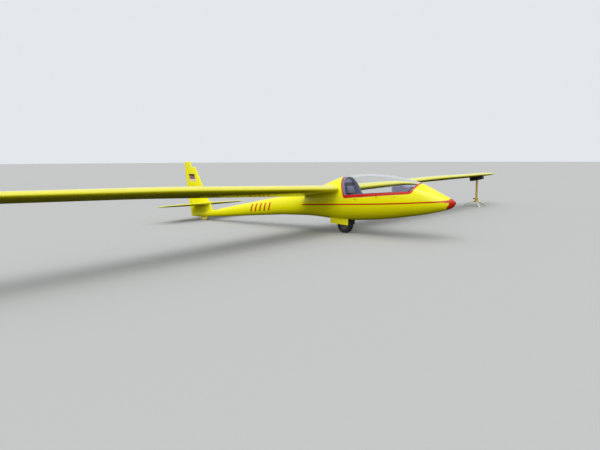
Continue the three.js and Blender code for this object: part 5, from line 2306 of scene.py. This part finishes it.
@dataclass
class Interior:
    """Seat, cushions, lining, panel under its hood, stick and pedals."""

    lining_inset: float = 0.026
    pan_inset: float = 0.0103
    back_half: float = 0.19
    head_half: float = 0.08
    panel_x: float = 2.13

    def build(self) -> None:
        """Builds the pieces of the cockpit."""
        # The rear lining carries the painted shade and painted light bands.
        cad_node("rear_bulkhead", LINING_PAINTED_SHADE_AND_LIGHT)
        self.pan()
        self.seat_back()
        self.headrest()
        self.panel()
        self.stick()
        for side in Side:
            self.pedal(side)

    def pan(self) -> None:
        """Moulded seat shell with a shallow dish and turned-down edges."""
        line = [(1.42, 0.316), (1.48, 0.3095), (1.56, 0.3025), (1.64, 0.298), (1.7, 0.2962)]
        line += [(1.77, 0.3035), (1.85, 0.3165), (1.93, 0.3345), (2.000, 0.3525), (2.06, 0.3718)]
        rows = []
        for k, (x, z) in enumerate(line):
            edge = 0.6 if k in (0, len(line) - 1) else 1.0
            top = [(y, z - 0.0015 - 0.0055 * (1 - (y / 0.19) ** 2) * edge) for y in np.linspace(-0.188, 0.188, 25)]
            right = [(0.196, z - 0.0035), (0.2015, z - 0.008), (0.2035, z - 0.0155)]
            left = [(-y, h) for y, h in reversed(right)]
            under = [(y, z - 0.0172) for y in np.linspace(0.19, -0.19, 25)]
            rows.append([(x, y, h) for y, h in [*left, *top, *right, *under]])
        obj = skin("seat_shell", rows)
        combine(obj, HULL.solid("inner", self.pan_inset), Join.KEEP)
        dress(leaned(even_shading(obj)), SHELL_PAINT, "root", "seat_pan")

    def cushion(self, name: str, outline: Outline, half: float, pad: Padding, inset: float) -> Object:
        """Closed blank of a cushion, cut to the hull and ready to be filled.

        Args:
            name: Name of the object.
            outline: Side view as (x, z).
            half: Half its width.
            pad: Its filling.
            inset: Extra distance from the hull.

        Returns:
            The blank.
        """
        obj = prism(name, outline, -half, half)
        combine(obj, HULL.solid("inner", self.pan_inset + inset), Join.KEEP)
        return bevelled(obj, pad.voxel, 2)

    def seat_back(self) -> None:
        """Back cushion, crowned in front, with its welt and two sewn channels."""
        outline = [(1.4005, 0.3265), (1.4135, 0.3325), (1.327, 0.5195), (1.256, 0.6955), (1.2425, 0.6905)]
        outline += [(1.3125, 0.513)]
        pad = Padding(0.0045, 4.0, 0.005)
        obj = self.cushion("back_cushion", outline, self.back_half - 0.005, pad, 0.005)

        def seams(places: np.ndarray) -> np.ndarray:
            """Distance from two level channels and from the welt near each edge.

            Args:
                places: Points of the cushion.

            Returns:
                The distances.
            """
            level = np.minimum(abs(places[:, 2] - 0.45), abs(places[:, 2] - 0.575))
            edge = np.minimum(abs(abs(places[:, 1]) - (self.back_half - 0.022)), abs(places[:, 2] - 0.675))
            return np.minimum(level, edge)

        pad.fill(obj, Vector((-0.9, 0, -0.35)), seams)
        dress(leaned(obj), TRIM, "root", "seat_back")

    def headrest(self) -> None:
        """Head cushion on the lining, with a welt all round its face."""
        outline = [(1.2335, 0.7155), (1.253, 0.7195), (1.225, 0.8265), (1.159, 0.831), (1.179, 0.7105)]
        pad = Padding(0.004, 4.0, 0.004)
        obj = self.cushion("head_cushion", outline, self.head_half - 0.004, pad, 0.0)

        def seams(places: np.ndarray) -> np.ndarray:
            """Distance from the welt behind the face."""
            return abs(places[:, 0] + (places[:, 2] - 0.7195) * 0.262 - 1.237)

        pad.fill(obj, Vector((-1, 0, 0)), seams)
        dress(leaned(obj), TRIM, "root", "headrest")

    def panel(self) -> None:
        """Panel face under a soft hood, on its pedestal, with a plain set of dials."""
        outline = [(2.13, 0.62), (2.13, 0.8), (2.12, 0.806), (2.122, 0.846), (2.15, 0.858), (2.2, 0.872)]
        outline += [(2.265, 0.877), (2.33, 0.876), (2.39, 0.869), (2.44, 0.858), (2.44, 0.8)]
        outline += [(2.23, 0.73), (2.19, 0.62)]
        obj = prism("panel_hood", outline, -0.17, 0.17)
        combine(obj, HULL.solid("inner", self.lining_inset), Join.KEEP)
        combine(obj, block("pedestal", (2.136, -0.06, 0.2), (2.186, 0.06, 0.66)), Join.ADD)
        combine(obj, HULL.solid("inner", self.pan_inset), Join.KEEP)
        bevelled(obj, 0.005, 3)
        dials = [(-0.088, 0.748, 0.038), (0.0, 0.748, 0.038), (0.088, 0.748, 0.038)]
        dials += [(-0.058, 0.665, 0.0275), (0.058, 0.665, 0.0275), (0.0, 0.668, 0.018)]
        turns = (0.6, 2.4, 4.0, 1.2, 5.3, 3.1)
        pieces = [self.dial(*dial, turn) for dial, turn in zip(dials, turns)]
        dress(leaned(obj), HOOD_CLOTH, "root", "instrument_panel")
        lined(obj, BLACK, lambda c, n: (n.x < -0.6 and c.z < 0.802) or c.z < 0.655)
        face = merged([piece for group in pieces for piece in group[:2]], "dial_cases")
        dress(leaned(face), DIAL, "root")
        marks = merged([group[2] for group in pieces], "dial_scales")
        dress(leaned(marks), DIAL_WHITE, "root")

    def dial(self, y: float, z: float, radius: float, turn: float) -> list[Object]:
        """One dial: its ring, its face, and its ticks with a pointer.

        Args:
            y: Place across the panel.
            z: Height.
            radius: Outer radius of the ring.
            turn: Angle of the pointer.

        Returns:
            The ring, the face and the white marks.
        """
        back = Vector((-1, 0, 0))
        centre = Vector((self.panel_x, y, z))
        section = [(-0.001, radius - 0.005), (0.0035, radius - 0.005), (0.0055, radius - 0.003)]
        section += [(0.0055, radius - 0.001), (0.004, radius), (-0.001, radius)]
        ring = hoop("dial_ring", section, back, centre, 40)
        face = lathe("dial_plate", [(-0.001, radius - 0.0045), (0.0012, radius - 0.0045)], back, centre, 40)
        fine, broad = 0.0008, 0.0013
        rays = [(2 * math.pi * k / 12, 0.66, 0.8, fine if k % 3 else broad) for k in range(12) if k != 6]
        ticks = []
        for angle, inner, outer, half in [*rays, (turn, -0.15, 0.62, broad)]:
            low = (self.panel_x - 0.0019, -half, radius * inner)
            tick = block("tick", low, (self.panel_x - 0.001, half, radius * outer))
            tick.data.transform(Matrix.Translation((0, y, z)) @ Matrix.Rotation(angle, 4, "X"))
            ticks.append(tick)
        return [ring, face, merged(ticks, "dial_marks")]

    def stick(self) -> None:
        """Stick out of a folded boot, with a shaped grip."""
        foot, knee, grip = Vector((1.895, 0, 0.352)), Vector((1.85, 0, 0.56)), Vector((1.838, 0, 0.65))
        folds = [(-0.012, 0.0418), (-0.006, 0.0412), (-0.002, 0.037), (0.002, 0.0378), (0.005, 0.033)]
        folds += [(0.009, 0.0338), (0.012, 0.0288), (0.016, 0.0296), (0.019, 0.0246), (0.023, 0.0252)]
        folds += [(0.026, 0.02), (0.031, 0.0206), (0.0345, 0.015), (0.039, 0.0138)]
        boot = lathe("stick_boot", folds, UP, foot, 40)
        rod = tube("stick_rod", [foot, foot.lerp(knee, 0.5), knee], [0.0085] * 3, 20)
        shape = [(0.0, 0.01), (0.02, 0.0128), (0.1, 0.014), (0.2, 0.015), (0.3, 0.0138), (0.42, 0.0152)]
        shape += [(0.54, 0.0138), (0.66, 0.0152), (0.78, 0.0142), (0.88, 0.0158), (0.95, 0.015), (0.99, 0.0112)]
        shape += [(1.0, 0.007)]
        handle = tube("stick_grip", [knee.lerp(grip, t) for t, _ in shape], [r for _, r in shape], 28)
        obj = merged([boot, rod, handle], "control_column")
        under = [(1.7, 0.2966), (2.06, 0.3723), (2.06, 0.0), (1.7, 0.0)]
        combine(obj, prism("under_pan", under, -0.3, 0.3), Join.CUT)
        dress(leaned(even_shading(obj)), BLACK, "root", "control_stick")
        lined(obj, STEEL, lambda c, _n: 0.394 < c.z < 0.556)

    def pedal(self, side: Side) -> None:
        """Ribbed pedal plate on its arm.

        Args:
            side: Which side.
        """
        x, y = 2.706, side.value * 0.07
        plate = block("plate", (x - 0.006, y - 0.04, 0.52), (x + 0.002, y + 0.04, 0.64))
        bevelled(plate, 0.0035, 3)
        parts = [plate]
        for k in range(5):
            z = 0.5365 + 0.0215 * k
            low, high = (x - 0.0062, y - 0.034, z), (x + 0.0058, y + 0.034, z + 0.006)
            parts.append(bevelled(block("rib", low, high), 0.0014, 2))
        arm = block("arm", (x - 0.0098, y - 0.008, 0.4), (x + 0.0098, y + 0.008, 0.5395))
        combine(arm, HULL.solid("inner", self.pan_inset), Join.KEEP)
        parts.append(bevelled(arm, 0.002, 2))
        obj = merged(parts, f"pedal_{side.word}")
        dress(leaned(obj), ALLOY, "root", f"rudder_pedal_{side.word}")


@dataclass
class Stand:
    """Padded tripod under the left wing; it stands upright in the world frame."""

    x: float = 0.955
    y: float = 6.614
    pole_radius: float = 0.028
    hub_radius: float = 0.044
    hub_base: float = 0.108
    hub_top: float = 0.232
    knob_z: float = 0.208
    knob_angle: float = 3.803
    leg_angle: float = 3.227
    leg_reach: float = 0.366
    leg_radius: float = 0.016
    pad_under: float = 0.112
    cradle_thick: float = 0.006

    def build(self) -> None:
        """Builds the stand from the pad down to its feet."""
        self.pad()
        self.cradle()
        self.pole()
        self.hub()
        self.knob()
        for index in range(3):
            self.leg(index)

    def under_wing(self, name: str, shares: Pair, half: float, depths: Pair) -> Object:
        """Block below the left wing's chord line, leaned with it.

        Args:
            name: Name of the object.
            shares: Shares of the chord at its front and its rear.
            half: Half its width.
            depths: Depth of its top and its underside below the chord line.

        Returns:
            The block.
        """
        rings = []
        for y in np.linspace(self.y - half, self.y + half, 5):
            chord = WING.chord(y)
            tops = [WING.point(Side.LEFT, y, s, -depths[0] / chord) for s in np.linspace(*shares, 13)]
            feet = [WING.point(Side.LEFT, y, s, -depths[1] / chord) for s in np.linspace(*reversed(shares), 13)]
            rings.append([*tops, *feet])
        return leaned(skin(name, rings))

    def pad(self) -> None:
        """Foam pad in a black cover that follows the wing's underside, with two sewn bands."""
        obj = self.under_wing("pad_cushion", (0.045, 0.715), 0.055, (0.0, self.pad_under - 0.002))
        rows = [WING.ring(Side.LEFT, y) for y in np.linspace(self.y - 0.2, self.y + 0.2, 3)]
        wing = skin("wing_form", rows)
        wing.data.transform(Matrix.Translation((0, 0, -0.004)))
        combine(obj, leaned(wing), Join.CUT)
        bevelled(obj, 0.004, 2)

        def seams(places: np.ndarray) -> np.ndarray:
            """Distance from the two bands and from the seam near each end.

            Args:
                places: Points of the cushion.

            Returns:
                The distances.
            """
            bands = np.minimum(abs(places[:, 0] - self.x - 0.085), abs(places[:, 0] - self.x + 0.085))
            return np.minimum(bands, abs(abs(places[:, 1] - self.y) - 0.047))

        Padding(0.0045, 4.0, 0.004).fill(obj, UP, seams)
        dress(obj, PAD_COVER, "root", "stand_pad")

    def cradle(self) -> None:
        """Steel tray under the pad."""
        depths = (self.pad_under + SEAT, self.pad_under + SEAT + self.cradle_thick)
        obj = self.under_wing("cradle_tray", (0.16, 0.6), 0.05, depths)
        bevelled(obj, 0.0018, 2)
        dress(obj, STAND_STEEL, "root", "stand_cradle")

    def upright(self, name: str, profile: Outline, steps: int = 40) -> Object:
        """Turned piece on the pole's axis; its profile runs upwards from the ground."""
        return lathe(name, profile, UP, Vector((self.x, self.y, 0)), steps)

    def pole(self) -> None:
        """Pole tube, cut to the slope of the tray, with its joint collar."""
        base, r = self.hub_base + 0.008, self.pole_radius
        profile = [(base, r - 0.002), (base + 0.002, r - 0.0004), (0.42, r - 0.0004), (0.4205, r), (0.434, r)]
        profile += [(0.4345, r - 0.0015), (0.9, r - 0.0015)]
        obj = self.upright("stand_tube", profile, 48)
        depths = (-0.4, self.pad_under + 2 * SEAT + self.cradle_thick)
        combine(obj, self.under_wing("above", (-1.0, 2.0), 0.2, depths), Join.CUT)
        dress(even_shading(obj), STAND_YELLOW, "root", "stand_pole")

    def hub(self) -> None:
        """Hub with a rolled rim above and below."""
        low, high, r = self.hub_base, self.hub_top, self.hub_radius
        inner = self.pole_radius + SEAT
        outer = [(low, inner - 0.01), (low, r - 0.003), (low + 0.002, r - 0.0008), (low + 0.006, r)]
        outer += [(low + 0.012, r), (low + 0.015, r - 0.002), (high - 0.015, r - 0.002), (high - 0.012, r)]
        outer += [(high - 0.006, r), (high - 0.002, r - 0.0008), (high, r - 0.003), (high, inner)]
        outer += [(low + 0.0077, inner), (low + 0.0077, inner - 0.01)]
        obj = hoop("hub_sleeve", outer, UP, Vector((self.x, self.y, 0)), 48)
        dress(even_shading(obj), STAND_YELLOW, "root", "stand_hub")

    def knob(self) -> None:
        """Clamp screw with a lobed knob."""
        out = Vector((math.cos(self.knob_angle), math.sin(self.knob_angle), 0))
        start = Vector((self.x, self.y, self.knob_z)) + out * self.hub_radius
        stem = lathe("knob_screw", [(0.0004, 0.0066), (0.026, 0.0066)], out, start, 24)
        side, up = out.cross(UP), UP
        rows = []
        for along, share in ((0.024, 0.72), (0.0255, 0.95), (0.029, 1.0), (0.041, 1.0), (0.0445, 0.93), (0.046, 0.7)):
            ring = []
            for k in range(60):
                angle = 2 * math.pi * k / 60
                radius = 0.0168 * share * (1 - 0.09 * (0.5 - 0.5 * math.cos(6 * angle)))
                ring.append(tuple(start + out * along + (side * math.cos(angle) + up * math.sin(angle)) * radius))
            rows.append(ring)
        obj = merged([stem, skin("knob_head", rows)], "clamp_knob")
        dress(obj, BLACK, "root", "stand_knob")

    def leg(self, index: int) -> None:
        """Leg tube with a weld at the hub and a pressed foot.

        Args:
            index: Number of the leg, from nought.
        """
        angle = self.leg_angle + index * 2 * math.pi / 3
        out = Vector((math.cos(angle), math.sin(angle), 0))
        centre = Vector((self.x, self.y, 0))
        start, end = centre + Vector((0, 0, 0.155)), centre + out * self.leg_reach + Vector((0, 0, 0.014))
        along = (end - start).normalized()
        stops = [start.lerp(end, t) for t in (0.0, 0.135, 0.15, 0.5, 0.985)]
        radius = self.leg_radius
        obj = tube("leg_tube", [*stops, end], [radius, radius, *[radius - 0.0008] * 3, radius - 0.005], 28)
        bead = [(self.hub_radius + 0.0004) / math.hypot(along.x, along.y) + d for d in (0.0, 0.002, 0.005, 0.007)]
        weld = lathe("weld", list(zip(bead, (radius, radius + 0.0022, radius + 0.0022, radius))), along, start, 28)
        foot = [(0.0, 0.0225), (0.0015, 0.024), (0.0075, 0.024), (0.0105, 0.0215), (0.012, 0.015)]
        disc = lathe("foot", foot, UP, Vector((end.x, end.y, 0)), 32)
        combine(obj, weld, Join.ADD)
        combine(obj, disc, Join.ADD)
        room = [(0.0, self.hub_radius + SEAT), (0.5, self.hub_radius + SEAT)]
        combine(obj, self.upright("room", room, 48), Join.CUT)
        obj.name = f"tripod_leg_{index + 1}"
        dress(even_shading(obj), STAND_CREAM, "root", f"stand_leg_{index + 1}")
        lined(obj, STAND_YELLOW, lambda c, _n: (Vector((c.x, c.y, 0)) - centre).length < self.hub_radius + 0.03)


@dataclass
class Studio:
    """Floor, light and camera."""

    eye: Point = (6.784, -8.6124, 1.365)
    yaw: float = 127.916
    pitch: float = -6.791
    roll: float = -0.236
    focal_px: float = 579.2
    image_width: int = 600
    sensor: float = 36.0
    pale: Colour = (0.38, 0.38, 0.37)
    lit: Colour = (0.07, 0.07, 0.012)
    mirrored: Colour = (0.018, 0.018, 0.003)
    sky: Colour = (0.86, 0.89, 0.93)
    sky_strength: float = 0.9
    lamps: tuple[tuple[str, Point, float, float], ...] = (
        ("overhead", (0.1, -0.2, 1.0), 80.0, 0.9),
        ("front", (0.2, -0.65, 0.8), 40.0, 1.6),
        ("side", (0.3, -0.95, 0.2), 30.0, 0.9),
    )

    def build(self) -> None:
        """Sets up the floor, the lights and the camera."""
        bpy.context.scene.view_settings.view_transform = "Standard"
        self.camera()
        self.floor()
        self.lights()

    def camera(self) -> None:
        """Camera where the photograph was taken from."""
        yaw, pitch, roll = (math.radians(a) for a in (self.yaw, self.pitch, self.roll))
        ahead = Vector((math.cos(yaw) * math.cos(pitch), math.sin(yaw) * math.cos(pitch), math.sin(pitch)))
        level = Vector((math.sin(yaw), -math.cos(yaw), 0))
        upward = level.cross(ahead)
        right = level * math.cos(roll) + upward * math.sin(roll)
        up = upward * math.cos(roll) - level * math.sin(roll)
        data = bpy.data.cameras.new("camera")
        data.sensor_fit = "HORIZONTAL"
        data.sensor_width = self.sensor
        data.lens = self.focal_px / self.image_width * self.sensor
        data.clip_end = 500
        camera = bpy.data.objects.new("camera", data)
        turn = Matrix((right, up, -ahead)).transposed()
        camera.matrix_world = Matrix.Translation(self.eye) @ turn.to_4x4()
        bpy.context.scene.collection.objects.link(camera)
        bpy.context.scene.camera = camera

    def floor(self) -> None:
        """Plain pale floor that throws little light back up."""
        bpy.ops.mesh.primitive_circle_add(vertices=96, radius=120, fill_type="NGON")
        floor = added("floor")
        material = bpy.data.materials.new("floor")
        coat = Coat(material)
        path = coat.add("LightPath").outputs
        colour = coat.mix(path["Is Reflection Ray"], opaque(self.pale), opaque(self.mirrored))
        colour = coat.mix(path["Is Diffuse Ray"], colour, opaque(self.lit))
        coat.put({"Base Color": colour, "Roughness": 0.9, "Specular IOR Level": 0.0})
        floor.data.materials.append(material)

    def lights(self) -> None:
        """Even sky and soft distant lamps."""
        world = bpy.data.worlds.new("sky")
        bpy.context.scene.world = world
        world.use_nodes = True
        background = world.node_tree.nodes["Background"].inputs
        background["Color"].default_value = opaque(self.sky)
        background["Strength"].default_value = self.sky_strength
        for name, towards, spread, power in self.lamps:
            self.lamp(name, towards, spread, power)

    @staticmethod
    def lamp(name: str, towards: Point, spread: float, power: float) -> None:
        """Adds one soft distant lamp.

        Args:
            name: Name of the lamp.
            towards: Direction in which it stands.
            spread: Angle that it fills, in degrees.
            power: Power in watts for each square metre.
        """
        data = bpy.data.lights.new(name, "SUN")
        data.angle = math.radians(spread)
        data.energy = power
        lamp = bpy.data.objects.new(name, data)
        lamp.rotation_euler = Vector(towards).to_track_quat("Z", "Y").to_euler()
        bpy.context.scene.collection.objects.link(lamp)


def main() -> None:
    """Builds the looks of the whole aircraft and its stand."""
    logging.basicConfig(level=logging.INFO, format="%(message)s")
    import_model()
    Studio().build()
    cockpit = Cockpit()
    for part in (Hull(cockpit), Canopy(cockpit), Wings(), Tail(), Gear(), Interior(), Stand()):
        LOG.info("building %s", type(part).__name__)
        part.build()


if __name__ == "__main__":
    main()
